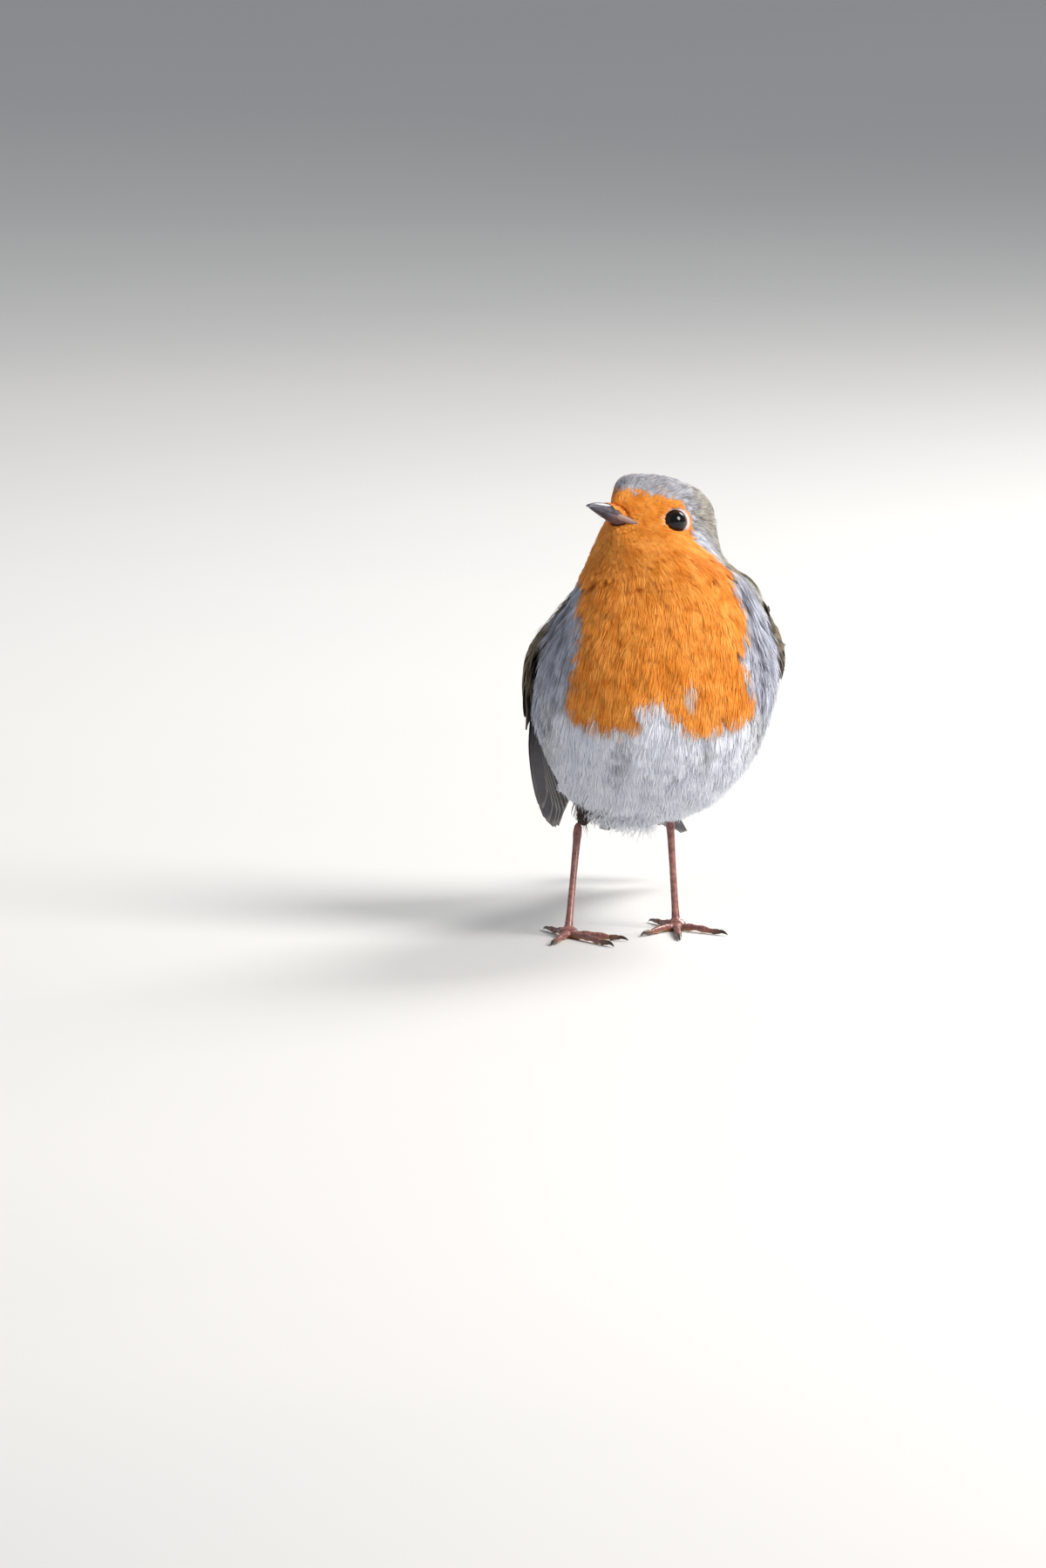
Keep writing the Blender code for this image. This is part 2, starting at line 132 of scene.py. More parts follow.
class Finish:
    """One material. Its Principled shader takes the constants given here and whatever feed() links."""

    def __init__(self, name, roughness, **constants):
        self.material = bpy.data.materials.new(name)
        self.material.use_nodes = True
        self.tree = self.material.node_tree
        self.shader = self.tree.nodes["Principled BSDF"]
        self.shader.inputs["Roughness"].default_value = roughness
        for label, value in constants.items():
            self.shader.inputs[label.replace("_", " ")].default_value = value

    def node(self, kind, settings=None, *values, out=0, **named):
        made = self.tree.nodes.new("ShaderNode" + kind)
        for label, value in (settings or {}).items():
            setattr(made, label, value)
        sockets = [s for s in made.inputs if s.enabled]
        for socket, value in list(zip(sockets, values)) + [(made.inputs[k], v) for k, v in named.items()]:
            if isinstance(value, Value):
                self.tree.links.new(value.socket, socket)
            elif value is not None:
                socket.default_value = value
        outputs = [s for s in made.outputs if s.enabled]
        return Value(self, outputs[out])

    def attribute(self, name):
        return self.node("Attribute", {"attribute_name": name}, out=2)

    def place(self):
        return self.node("TexCoord", None, out=3)

    def noise(self, scale, detail=2.0, where=None):
        """Clouds of about 0 to 1; scale is how many fit in a metre."""
        return self.node("TexNoise", None, Vector=where or self.place(), Scale=scale, Detail=detail)

    def mix(self, share, first, second, blend="MIX"):
        return self.node("Mix", {"data_type": "RGBA", "blend_type": blend}, share, first, second)

    def shaded(self, colour, amount):
        """A colour times a number."""
        grey = self.node("CombineColor", None, amount, amount, amount)
        return self.mix(1.0, colour, grey, "MULTIPLY")

    def feed(self, label, value):
        self.tree.links.new(value.socket, self.shader.inputs[label])

    def bump(self, height, depth, strength=1.0):
        """Relief; depth is the height's real size in metres."""
        made = self.node("Bump", None, Strength=strength, Distance=depth, Height=height)
        self.feed("Normal", made)


bpy.ops.object.select_all(action="DESELECT")
bpy.ops.mesh.primitive_grid_add(x_subdivisions=24, y_subdivisions=24, size=24, location=(0, 4, 0))
floor = bpy.context.object
floor.name = "floor"
floor_paint = Finish("pale_floor", 0.75)
clouds = floor_paint.noise(3.0, 5.0)
floor_paint.feed("Base Color", floor_paint.mix(clouds, tint("cfcfd0"), tint("d8d7d5")))
floor_paint.bump(floor_paint.noise(900.0, 3.0), 0.00005, 0.2)
floor.data.materials.append(floor_paint.material)
floor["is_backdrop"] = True

# name: where from (metres, over the bird), size, watts, colour
LAMPS = {
    "key": ((1.12, -0.78, 1.08), 1.00, 40.0, (1.0, 0.96, 0.90)),
    "fill": ((-1.30, -0.80, 0.45), 1.20, 0.8, (0.86, 0.92, 1.0)),
    "rim": ((0.70, 0.90, 0.90), 0.70, 18.0, (1.0, 0.98, 0.94)),
}
LAMPS_LOOK_AT = np.array((0, -0.02, 0.06))
for name, (where, size, watts, colour) in LAMPS.items():
    lamp_data = bpy.data.lights.new(name, "AREA")
    lamp_data.shape = "DISK"
    lamp_data.size, lamp_data.energy, lamp_data.color = size, watts, colour
    lamp = bpy.data.objects.new(name, lamp_data)
    bpy.context.scene.collection.objects.link(lamp)
    lamp.location = where
    aim_at = LAMPS_LOOK_AT - np.array(where)
    turn = math.atan2(aim_at[1], aim_at[0]) - math.pi / 2
    lamp.rotation_euler = (math.pi / 2 + math.atan2(aim_at[2], math.hypot(*aim_at[:2])), 0, turn)

world = bpy.data.worlds.new("studio")
world.use_nodes = True
backdrop = world.node_tree.nodes["Background"]
backdrop.inputs["Color"].default_value = (0.86, 0.90, 0.96, 1)
backdrop.inputs["Strength"].default_value = 0.36
bpy.context.scene.world = world

# ---------------------------------------------------------------- how the bird is laid out
# Head axes, from the eyes and the bill's tip, and a spine from crown to tail root through the middle of each
# part of the body. Places on the skin are given as a distance from the crown and an angle from the front.


def points_of(*nodes):
    """Corners of CAD nodes, in millimetres."""
    return np.concatenate([[v.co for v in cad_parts[n].data.vertices] for n in nodes]) * 1000


def middle_of(node):
    low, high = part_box(node)
    return np.array(low + high) * 500


def unit(vectors):
    return vectors / np.maximum(np.linalg.norm(vectors, axis=-1, keepdims=True), 1e-9)


def gap(points, place):
    """How far points are from one place."""
    return np.linalg.norm(points - place, axis=1)


def smoothstep(low, high, values):
    t = np.clip((values - low) / (high - low), 0, 1)
    return t * t * (3 - 2 * t)


BILL_DROOP = math.radians(4.4)  # the bill's tip lies this far under the head's own forward line
EYES = {"left": middle_of("eye_left"), "right": middle_of("eye_right")}
HEAD = (EYES["left"] + EYES["right"]) / 2
LEFT = unit(EYES["left"] - EYES["right"])
bill_reach = max(points_of("bill_upper") - HEAD, key=np.linalg.norm)
bill_way = unit(bill_reach - LEFT * (bill_reach @ LEFT))
FORWARD = unit(bill_way * math.cos(BILL_DROOP) + np.cross(bill_way, LEFT) * math.sin(BILL_DROOP))
UP = np.cross(FORWARD, LEFT)
HEAD_AXES = np.array([FORWARD, LEFT, UP])


def at_head(forward, left, up):
    """A point given from midway between the eyes."""
    return HEAD + np.array((forward, left, up)) @ HEAD_AXES


def from_head(points):
    """Forward, left and up of points, from midway between the eyes."""
    return (points - HEAD) @ HEAD_AXES.T


BILL_ROOT = at_head(9.0, 0, -1.8)
ANKLE_HEIGHT = 25.0
shank_right = points_of("tarsus_right")
ANKLE = shank_right[np.argmax(shank_right[:, 2])] * (1, 1, 0) + (0, 0, ANKLE_HEIGHT)
THIGH_WAY = unit(middle_of("tibia_right") - ANKLE)
CROWN = at_head(-4.6, 0, 11.0)
tail_corners = points_of("tail")
tail_low, tail_high = np.array([list(corner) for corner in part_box("tail")]) * 1000
tail_front = tail_corners[tail_corners[:, 1] < tail_low[1] + 4]
TAIL_ROOT = np.array((tail_front[:, 0].mean(), tail_low[1], tail_high[2] - 0.5))
trunk = [middle_of(node) for node in ("neck", "breast", "belly", "rump")]
spine_knots = np.array([CROWN, at_head(-4.0, 0, 0), *trunk, TAIL_ROOT])


def through(knots, count):
    """Points along one smooth curve through the knots."""
    slopes = np.gradient(knots, axis=0)
    at = np.linspace(0, len(knots) - 1, count)
    k = np.clip(at.astype(int), 0, len(knots) - 2)
    t = (at - k)[:, None]
    return ((2 * t**3 - 3 * t**2 + 1) * knots[k] + (t**3 - 2 * t**2 + t) * slopes[k]
            + (3 * t**2 - 2 * t**3) * knots[k + 1] + (t**3 - t**2) * slopes[k + 1])


SPINE = through(spine_knots, 160)
SPINE_WAY = unit(np.gradient(SPINE, axis=0))
SPINE_AT = np.concatenate([[0], np.cumsum(np.linalg.norm(np.diff(SPINE, axis=0), axis=1))])
NECK_AT = SPINE_AT[np.argmin(gap(SPINE, middle_of("neck")))]
NECK_REACH = 12.0  # the head is turned, and the side direction swings over this far above and below the neck
turned = smoothstep(NECK_AT - NECK_REACH, NECK_AT + NECK_REACH, SPINE_AT)[:, None]
SPINE_SIDE = unit(LEFT * (1 - turned) + np.array((1.0, 0, 0)) * turned)
SPINE_FRONT = unit(np.cross(SPINE_WAY, SPINE_SIDE))


def on_body(points):
    """Index of the nearest spine point, distance down the spine from the crown, angle from the front."""
    groups = [group for group in np.array_split(points, 40) if len(group)]
    near = np.concatenate([((group[:, None] - SPINE) ** 2).sum(2).argmin(1) for group in groups])
    out = points - SPINE[near]
    beyond = (out * SPINE_WAY[near]).sum(1)
    angle = np.degrees(np.arctan2((out * SPINE_SIDE[near]).sum(1), (out * SPINE_FRONT[near]).sum(1)))
    return near, SPINE_AT[near] + beyond, angle


# ---------------------------------------------------------------- skin
# Under the feathers lies one skin over head, neck, trunk and right thigh. It is cast in one piece over the
# solids, sunk by the thickness of the coat, with a soft lid ring round each eye, and carries the markings.

FLESH = ("head", "neck", "breast", "belly", "rump", "tibia_right")
SEAM_OVERLAP = 0.50  # the solids are swollen by this much, so that they melt into one
SEAM_LEFT = 0.10  # and the cast is shrunk back to this
CAST_GRAIN = 0.0007  # metres between the corners of the first cast
SKIN_GRAIN = 0.00052  # and of the finished skin
EYE_RADIUS = float(np.ptp(points_of("eye_left"), axis=0).mean()) / 2
EYE_CLEARANCE = 0.10
LID_RADIUS = 3.02
LID_THICKNESS = 0.33
LID_OUT = 1.20  # the ring lies this far out from the eye ball's middle
SIDES = (("left", 1), ("right", -1))
EYE_AXIS = {side: unit(np.array((0.45, sign * 0.87, 0.05)) @ HEAD_AXES) for side, sign in SIDES}
# The coat's depth by the distance down the spine, and on the face by the distance from the bill's root
BODY_DEPTH = ((18, 26, 36, 52, 70, 90, 108), (0.9, 1.3, 1.7, 2.2, 2.2, 1.8, 1.2))
FACE_DEPTH = ((0, 4, 9, 16, 24), (0.15, 0.3, 0.5, 0.75, 0.9))


def numbers_of(piece, what):
    """A place or a normal for each corner of a piece."""
    numbers = np.empty(len(piece.data.vertices) * 3, np.float32)
    piece.data.vertices.foreach_get(what, numbers)
    return numbers.reshape(-1, 3).astype(float)


def corners_of(piece):
    return numbers_of(piece, "co") * 1000


def normals_of(piece):
    return numbers_of(piece, "normal")


def reshape_to(piece, spots):
    piece.data.vertices.foreach_set("co", (spots * MM).astype(np.float32).ravel())
    piece.data.update()


def note(piece, **shares):
    """Writes numbers, one for each corner of a piece or one for all, for its finish to read."""
    for name, values in shares.items():
        spread = np.full(len(piece.data.vertices), values, np.float32)
        piece.data.attributes.new(name, "FLOAT", "POINT").data.foreach_set("value", spread)


def coat_depth(points):
    """How far the coat stands off the skin: thin on the face and by the ankle, deep on the belly."""
    _, down, _ = on_body(points)
    body = np.interp(down, *BODY_DEPTH)
    face = np.interp(gap(points, BILL_ROOT), *FACE_DEPTH)
    depth = np.where(down < 24, np.minimum(body, face), body)
    for eye in EYES.values():
        depth = depth * (0.12 + 0.88 * smoothstep(3.2, 6.0, gap(points, eye)))
    return depth * (0.15 + 0.85 * smoothstep(3.0, 13.0, gap(points, ANKLE)))


def from_lids(points):
    """Distance to the nearer eye's lid ring."""
    gaps = []
    for side, eye in EYES.items():
        rel = points - eye - EYE_AXIS[side] * LID_OUT
        ahead = rel @ EYE_AXIS[side]
        gaps.append(np.hypot(gap(rel, ahead[:, None] * EYE_AXIS[side]) - LID_RADIUS, ahead))
    return np.minimum(*gaps)


# How high the orange reaches up the side of the head, by the distance forward
BROW = ((-20, -13.2, -10.5, -8.7, -6.1, -4.5, -3.8, -2.6, 0.9, 3.5, 8, 13),
        (-13, -9.9, -7.9, -6.3, -4.9, -2.2, 0.8, 3.0, 5.3, 6.0, 5.6, 4.7))
# How far round the throat and breast it reaches in degrees, by the distance down the spine, and where it ends
BIB = ((16, 20, 23.6, 26.7, 29.6, 33, 36, 38.5, 41, 43.5, 46, 49, 52),
       (92, 90.5, 88, 70, 68, 62, 58.5, 52, 50, 54, 52.5, 54, 54))
BIB_FOOT = 51.8
BREAST_FRONT = -45  # y; the tuft and the partings are ahead of this
TUFT = (8.0, 58.4)  # x and z of the pale tuft in the bib
TUFT_SIZE = (1.7, 2.6)
# Dark specks between the bill and the eye: forward, aside, radius
SPECKS = ((8.6, 4.6, 0.55), (9.6, 4.0, 0.45), (7.6, 5.4, 0.5), (11.2, 2.7, 0.5))
# Painted shade where the belly's down parts, with its own slate roots showing: x, lowest and highest z, lean,
# strength
SHADED_PARTINGS = ((-9.2, 35.0, 49.5, 0.10, 0.65), (-7.0, 37.0, 47.0, -0.14, 0.5), (11.0, 38.5, 50.0, 0.16, 0.65),
            (13.0, 40.0, 48.0, -0.10, 0.5), (-15.0, 34.0, 43.0, 0.05, 0.3), (3.0, 33.0, 40.0, 0.0, 0.25))
SHADED_PARTING_WIDTH = 0.5


def markings(points):
    """At points of the coat, shares of orange, white, grey, dusky brown and of slate roots in painted shade
    where the down parts. The rest is olive.
    """
    _, down, angle = on_body(points)
    forward, left, up = from_head(points).T
    x, y, z = points.T
    reach = np.abs(angle - 1.0)
    # orange: under the brow's line on the head, and inside the bib on the body
    brow = np.interp(forward, *BROW)
    on_head = 1 - smoothstep(18.0, 23.0, down)
    half = np.interp(down, *BIB) + np.sign(angle) * 4.5 * smoothstep(44, 50, down)
    foot = BIB_FOOT - 3.8 * np.maximum(0, 1 - ((angle - 2) / 15) ** 2)
    orange_body = smoothstep(-0.4, 0.4, (half - reach) * 0.38) * smoothstep(-0.4, 0.4, foot - down)
    hindneck = smoothstep(91, 99, reach) * smoothstep(9, 14, down)
    nape = np.maximum(hindneck, smoothstep(15, 19, -forward) * (down < 31))
    orange = (on_head * smoothstep(-0.35, 0.35, brow - up) + (1 - on_head) * orange_body) * (1 - nape)
    # grey: a band behind the orange. white: all below the bib, and the vent
    band_head = 1 - 0.75 * smoothstep(brow + 1.5, brow + 9.0, up) * smoothstep(2.0, -9.0, forward)
    band_body = 1 - smoothstep(88, 104, reach)
    band = on_head * band_head + (1 - on_head) * band_body
    below = smoothstep(-0.6, 0.6, down - np.maximum(foot, 46)) * (1 - on_head)
    white = (1 - orange) * below * (1 - smoothstep(56, 82, reach + 0.25 * (70 - down)))
    white = np.maximum(white, (1 - smoothstep(95, 125, reach)) * smoothstep(84, 92, down))
    grey = np.maximum(0, band - orange) * (1 - white)
    # the pale tuft in the bib
    from_tuft = np.hypot((x - TUFT[0]) / TUFT_SIZE[0], (z - TUFT[1]) / TUFT_SIZE[1])
    tuft = 0.85 * (1 - smoothstep(0.7, 1.1, from_tuft)) * (y < BREAST_FRONT)
    orange = orange * (1 - tuft)
    white = np.maximum(white, tuft)
    # dusky: the ankle, the crown's streaks and the specks before the eye
    up_thigh = (points - ANKLE) @ THIGH_WAY
    off_thigh = gap(points, ANKLE + up_thigh[:, None] * THIGH_WAY)
    dusky = (1 - smoothstep(3.0, 4.2, off_thigh)) * (1 - smoothstep(3.5, 6.5, up_thigh)) * (z < ANKLE[2] + 8)
    streak = 0.5 + 0.5 * np.sin(8.0 * left + 2.5 * np.sin(1.1 * forward))
    streaked = (0.16 + 0.50 * streak) * smoothstep(5.0, 8.0, up) * smoothstep(-9.0, 4.0, forward) * on_head
    dusky = np.maximum(dusky, streaked)
    for ahead, aside, radius in SPECKS:
        from_speck = np.hypot(np.hypot(forward - ahead, np.abs(left) - aside), up + 1.2) / radius / 1.6
        dusky = np.maximum(dusky, 0.6 * (1 - smoothstep(0.3, 1.2, from_speck)))
    # the lids are rimmed with cream, and painted shade over slate roots marks where the belly's down parts
    cream = 1 - smoothstep(0.40, 0.85 + 0.45 * smoothstep(2.0, -3.0, forward), from_lids(points))
    orange = np.maximum(orange * (1 - cream), 0.30 * cream)
    white = np.maximum(white * (1 - orange) * (1 - dusky), cream)
    dusky = dusky * (1 - cream)
    parted = np.zeros(len(points))
    for middle, low, high, lean, strength in SHADED_PARTINGS:
        off = np.abs(x - middle - lean * (z - low)) - 0.9 * smoothstep(low, high, z)
        inside = smoothstep(low - 1, low + 2, z) * (1 - smoothstep(high - 3, high, z))
        shown = strength * np.exp(-((off / SHADED_PARTING_WIDTH) ** 2)) * inside * (y < BREAST_FRONT)
        parted = np.maximum(parted, shown)
    grey = grey * (1 - dusky) * (1 - cream)
    return {"orange": orange, "white": white, "grey": grey, "dusky": dusky, "parted": parted}


def primitive(add, name, **sizes):
    """A new primitive with its place in its mesh and nothing else selected."""
    bpy.ops.object.select_all(action="DESELECT")
    add(**sizes)
    piece = bpy.context.object
    piece.name = name
    bpy.ops.object.transform_apply()
    return piece


def in_edit_mode(piece, work, **settings):
    """Runs one operator of edit mode on the whole of one piece."""
    bpy.ops.object.select_all(action="DESELECT")
    piece.select_set(True)
    bpy.context.view_layer.objects.active = piece
    bpy.ops.object.mode_set(mode="EDIT")
    bpy.ops.mesh.select_all(action="SELECT")
    work(**settings)
    bpy.ops.object.mode_set(mode="OBJECT")


def ring_round(eye, axis):
    """A lid: a ring whose hole looks along the axis, drawn out fore and aft and rimmed with fine folds."""
    middle = eye + axis * LID_OUT
    ring = primitive(
        bpy.ops.mesh.primitive_torus_add, "lid", location=middle * MM, major_segments=96, minor_segments=20,
        major_radius=LID_RADIUS * MM, minor_radius=LID_THICKNESS * MM,
        rotation=Vector(axis).to_track_quat("Z", "Y").to_euler(),
    )
    rel = corners_of(ring) - eye - axis * LID_OUT
    fore = unit(FORWARD - axis * (FORWARD @ axis))
    around = np.arctan2(rel @ np.cross(axis, fore), rel @ fore)
    stretch = 1 + 0.045 * np.abs(np.cos(around)) ** 6 + 0.010 * np.sin(30 * around)
    reshape_to(ring, middle + rel * stretch[:, None])
    return ring


def cast_of(node, name):
    """A copy of a CAD node's mesh, to be worked on."""
    cast = bpy.data.objects.new(name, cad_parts[node].data.copy())
    bpy.context.scene.collection.objects.link(cast)
    return cast


def merged(piece):
    in_edit_mode(piece, bpy.ops.mesh.remove_doubles, threshold=1e-6)


def remeshed(piece, grain, smoothing):
    bpy.context.view_layer.objects.active = piece
    piece.data.remesh_voxel_size = grain
    bpy.ops.object.voxel_remesh()
    in_edit_mode(piece, bpy.ops.mesh.vertices_smooth, factor=0.5, repeat=smoothing)


def joined(pieces, name):
    bpy.ops.object.select_all(action="DESELECT")
    for piece in pieces:
        piece.select_set(True)
    bpy.context.view_layer.objects.active = pieces[0]
    bpy.ops.object.join()
    pieces[0].name = name
    return pieces[0]


def unwrapped(piece, margin):
    """Gives a piece its map OFBake."""
    while piece.data.uv_layers:
        piece.data.uv_layers.remove(piece.data.uv_layers[0])
    piece.data.uv_layers.new(name="OFBake")
    in_edit_mode(piece, bpy.ops.uv.smart_project, angle_limit=math.radians(70), island_margin=margin)
    bpy.ops.object.shade_smooth()


def finished(piece, finish, slot, *replaced):
    """Gives a piece its finish and its body, and hides the solids that it stands for. Its slot is not used.
    """
    piece.data.materials.clear()
    piece.data.materials.append(finish.material)
    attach(piece, "root")
    if replaced:
        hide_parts(*replaced)
    return piece


skin = joined([cast_of(node, node + "_cast") for node in FLESH], "skin")
merged(skin)
reshape_to(skin, corners_of(skin) + normals_of(skin) * SEAM_OVERLAP)
remeshed(skin, CAST_GRAIN, 14)
reshape_to(skin, corners_of(skin) - normals_of(skin) * (SEAM_OVERLAP - SEAM_LEFT))
remeshed(skin, SKIN_GRAIN, 2)
spots = corners_of(skin)
sunk = coat_depth(spots) * smoothstep(LID_THICKNESS, 2.0, from_lids(spots))
spots = spots - normals_of(skin) * sunk[:, None]
for eye in EYES.values():
    rel = spots - eye
    far = np.linalg.norm(rel, axis=1, keepdims=True)
    spots = np.where(far < EYE_RADIUS + EYE_CLEARANCE, eye + rel / far * (EYE_RADIUS + EYE_CLEARANCE), spots)
reshape_to(skin, spots)
skin = joined([skin] + [ring_round(eye, EYE_AXIS[side]) for side, eye in EYES.items()], "skin")
unwrapped(skin, 0.002)
spots = corners_of(skin)
spots = spots + normals_of(skin) * coat_depth(spots)[:, None]
note(skin, **markings(spots), along=0.25, chance=0.5)

plumage = Finish("plumage", 0.72, Sheen_Weight=0.12, Sheen_Roughness=0.5, Specular_IOR_Level=0.25)
along = plumage.attribute("along")
chance = plumage.attribute("chance")
mottle = plumage.noise(260.0, 4.0)
fine_mottle = plumage.noise(1500.0, 3.0)
olive = plumage.mix(mottle.held(0.3, 0.7), tint("7d735a"), tint("978d73"))
grey = plumage.mix(mottle.held(0.3, 0.7), tint("a9adbc"), tint("cfd2e0"))
white = plumage.mix(mottle.held(0.35, 0.75), tint("dfe3ee"), tint("f1f4fc"))
orange = plumage.mix(mottle.held(0.3, 0.7), tint("e48925"), tint("fbab4b"))
colour = plumage.mix(plumage.attribute("dusky"), olive, tint("40302a"))
colour = plumage.mix(plumage.attribute("grey"), colour, grey)
colour = plumage.mix(plumage.attribute("white"), colour, white)
base_tone = plumage.mix(plumage.attribute("grey"), tint("615c54"), tint("8b8e99"))
base_tone = plumage.mix(plumage.attribute("white"), base_tone, tint("ced2dd"))
colour = plumage.mix(along.held(0.0, 0.75), base_tone, colour)
orange_base = plumage.mix(along.held(0.0, 0.6), tint("cc7017"), orange)
colour = plumage.mix(plumage.attribute("orange"), colour, orange_base)
# painted shade over the down's own slate roots, where the belly's down parts
colour = plumage.mix(plumage.attribute("parted"), colour, tint("5e5f68"))
plumage.feed("Base Color", plumage.shaded(colour, 0.84 + 0.18 * chance + 0.12 * fine_mottle))
finished(skin, plumage, "olive_plumage", *FLESH)


# ---------------------------------------------------------------- body feathers
# Contour feathers, each a fan of barbs that leaves the skin and lies back along the body, tip over root like
# tiles. They are short and dense on the face, long and downy on the belly, and are rooted all over the skin.


def lie(points, normals):
    """Which way feathers lie at skin points: away from the bill on the head, along the spine on the body."""
    near, down, _ = on_body(points)
    from_bill = unit(points - BILL_ROOT)
    share = (1 - smoothstep(16, 34, down))[:, None]
    way = from_bill * share + SPINE_WAY[near] * (1 - share)
    on_leg = (1 - smoothstep(5.0, 9.0, gap(points, ANKLE)))[:, None]
    way = way * (1 - on_leg) + np.array((0.0, 0.0, -1.0)) * on_leg
    for eye in EYES.values():
        far = np.linalg.norm(eye - points, axis=1, keepdims=True)
        toward = (eye - points) / far
        close = 0.92 * (1 - smoothstep(LID_RADIUS + 0.4, LID_RADIUS + 3.0, far))
        way = way - toward * np.maximum(0, (way * toward).sum(1, keepdims=True)) * close
    return unit(way - normals * (way * normals).sum(1, keepdims=True))


rng = np.random.default_rng(7)
PATCH = 0.003  # of the skin's map that each feather takes
BARB_STEPS = np.array([0.0, 0.42, 0.78, 1.0])  # a barb's four points, from the shaft to its tip
BARB_TAPER = np.array([0.9, 1.0, 0.75])


def fan(face):
    """A face as triangles from its lowest corner, each three pairs of a corner and its place in the map."""
    ring = list(zip(face.vertices, face.loop_indices))
    first = ring.index(min(ring))
    ring = ring[first:] + ring[:first]
    return [(ring[0], ring[k], ring[k + 1]) for k in range(1, len(ring) - 1)]


def ground(piece, way_of, sort=False):
    """What the coat needs of the surface it grows on. A sphere's faces come in any order and need a sort."""
    spots, outs = corners_of(piece), normals_of(piece)
    if sort:
        fans = [triangle for face in piece.data.polygons for triangle in fan(face)]
        fans.sort(key=lambda triangle: [corner for corner, _ in triangle])
        corners, loops = np.array(fans).transpose(2, 0, 1)
    else:
        piece.data.calc_loop_triangles()
        corners = np.array([t.vertices for t in piece.data.loop_triangles])
        loops = np.array([t.loops for t in piece.data.loop_triangles])
    places = np.empty(len(piece.data.loops) * 2, np.float32)
    piece.data.uv_layers["OFBake"].data.foreach_get("uv", places)
    sides = spots[corners[:, 1:]] - spots[corners[:, :1]]
    return {
        "spots": spots[corners], "outs": outs[corners], "places": places.reshape(-1, 2).astype(float)[loops],
        "areas": 0.5 * np.linalg.norm(np.cross(sides[:, 0], sides[:, 1]), axis=1),
        "middles": spots[corners].mean(1), "way_of": way_of,
        "tree": BVHTree.FromPolygons([tuple(spot) for spot in spots], [tuple(three) for three in corners]),
    }


skin_ground = ground(skin, lie)
middles = skin_ground["middles"]
_, down_skin, angle_skin = on_body(middles)
near_eye = np.min([gap(middles, eye + EYE_AXIS[side] * LID_OUT) for side, eye in EYES.items()], axis=0)
from_bill_root = gap(middles, BILL_ROOT)
NEIGHBOURS = [(x, y, z) for x in (-1, 0, 1) for y in (-1, 0, 1) for z in (-1, 0, 1)]
TRIES = 7  # roots that are tried for each place where one can stand


def rooted(soil, where, spacing):
    """Evenly scattered roots on triangles chosen by a mask: points, normals and places on the map."""
    chosen = np.flatnonzero(where)
    areas = soil["areas"][chosen]
    count = int(TRIES * areas.sum() / spacing**2)
    picks = chosen[rng.choice(len(chosen), count, p=areas / areas.sum())]
    a, b = rng.random((2, count))
    a, b = np.where(a + b > 1, 1 - a, a), np.where(a + b > 1, 1 - b, b)
    weights = np.stack([1 - a - b, a, b], axis=1)[:, :, None]
    spots = (soil["spots"][picks] * weights).sum(1)
    cells = {}
    kept = []
    for k, (spot, cell) in enumerate(zip(spots.tolist(), np.floor(spots / spacing).astype(int).tolist())):
        x, y, z = cell
        near = [other for i, j, l in NEIGHBOURS for other in cells.get((x + i, y + j, z + l), ())]
        gaps = [(spot[0] - a) ** 2 + (spot[1] - b) ** 2 + (spot[2] - c) ** 2 for a, b, c in near]
        if min(gaps, default=spacing**2) >= spacing**2:
            cells.setdefault((x, y, z), []).append(spot)
            kept.append(k)
    normals = unit((soil["outs"][picks[kept]] * weights[kept]).sum(1))
    uvs = (soil["places"][picks[kept]] * weights[kept]).sum(1)
    return spots[kept], normals, np.clip(uvs, PATCH, 1 - PATCH)


def laid_back(soil, roots, normals, length, stations=6):
    """Each feather's own line over the surface: points, normals and ways at even steps from root to tip."""
    lines, outs, ways = [roots], [normals], [soil["way_of"](roots, normals)]
    swing = rng.normal(0, 0.10, (len(roots), 1))
    step = (length / (stations - 1))[:, None]
    for _ in range(stations - 1):
        way = unit(ways[-1] + np.cross(outs[-1], ways[-1]) * swing * 0.4)
        found = [soil["tree"].find_nearest(Vector(ahead)) for ahead in lines[-1] + way * step]
        spot = np.array([hit[0] for hit in found])
        out = unit(0.5 * np.array([hit[1] for hit in found]) + 0.5 * outs[-1])
        lines.append(spot)
        outs.append(out)
        ways.append(unit((spot - lines[-2]) * 0.6 + soil["way_of"](spot, out) * 0.4 * step))
    return np.stack(lines, 1), np.stack(outs, 1), np.stack(ways, 1)


def meshed(name, spots, faces_by_size, uvs=None, numbers=None, map_name="OFBake"):
    """A mesh object from corner arrays in millimetres; uvs and numbers are given for each corner."""
    mesh = bpy.data.meshes.new(name)
    sizes = np.concatenate([np.full(len(f), f.shape[1]) for f in faces_by_size])
    corners = np.concatenate([f.ravel() for f in faces_by_size]).astype(np.int32)
    mesh.vertices.add(len(spots))
    mesh.loops.add(len(corners))
    mesh.polygons.add(len(sizes))
    mesh.vertices.foreach_set("co", (spots * MM).astype(np.float32).ravel())
    mesh.loops.foreach_set("vertex_index", corners)
    mesh.polygons.foreach_set("loop_start", np.concatenate([[0], np.cumsum(sizes)[:-1]]).astype(np.int32))
    mesh.polygons.foreach_set("use_smooth", np.ones(len(sizes), bool))
    mesh.update(calc_edges=True)
    if uvs is not None:
        layer = mesh.uv_layers.new(name=map_name)
        layer.data.foreach_set("uv", uvs[corners].astype(np.float32).ravel())
    piece = bpy.data.objects.new(name, mesh)
    bpy.context.scene.collection.objects.link(piece)
    note(piece, **(numbers or {}))
    return piece


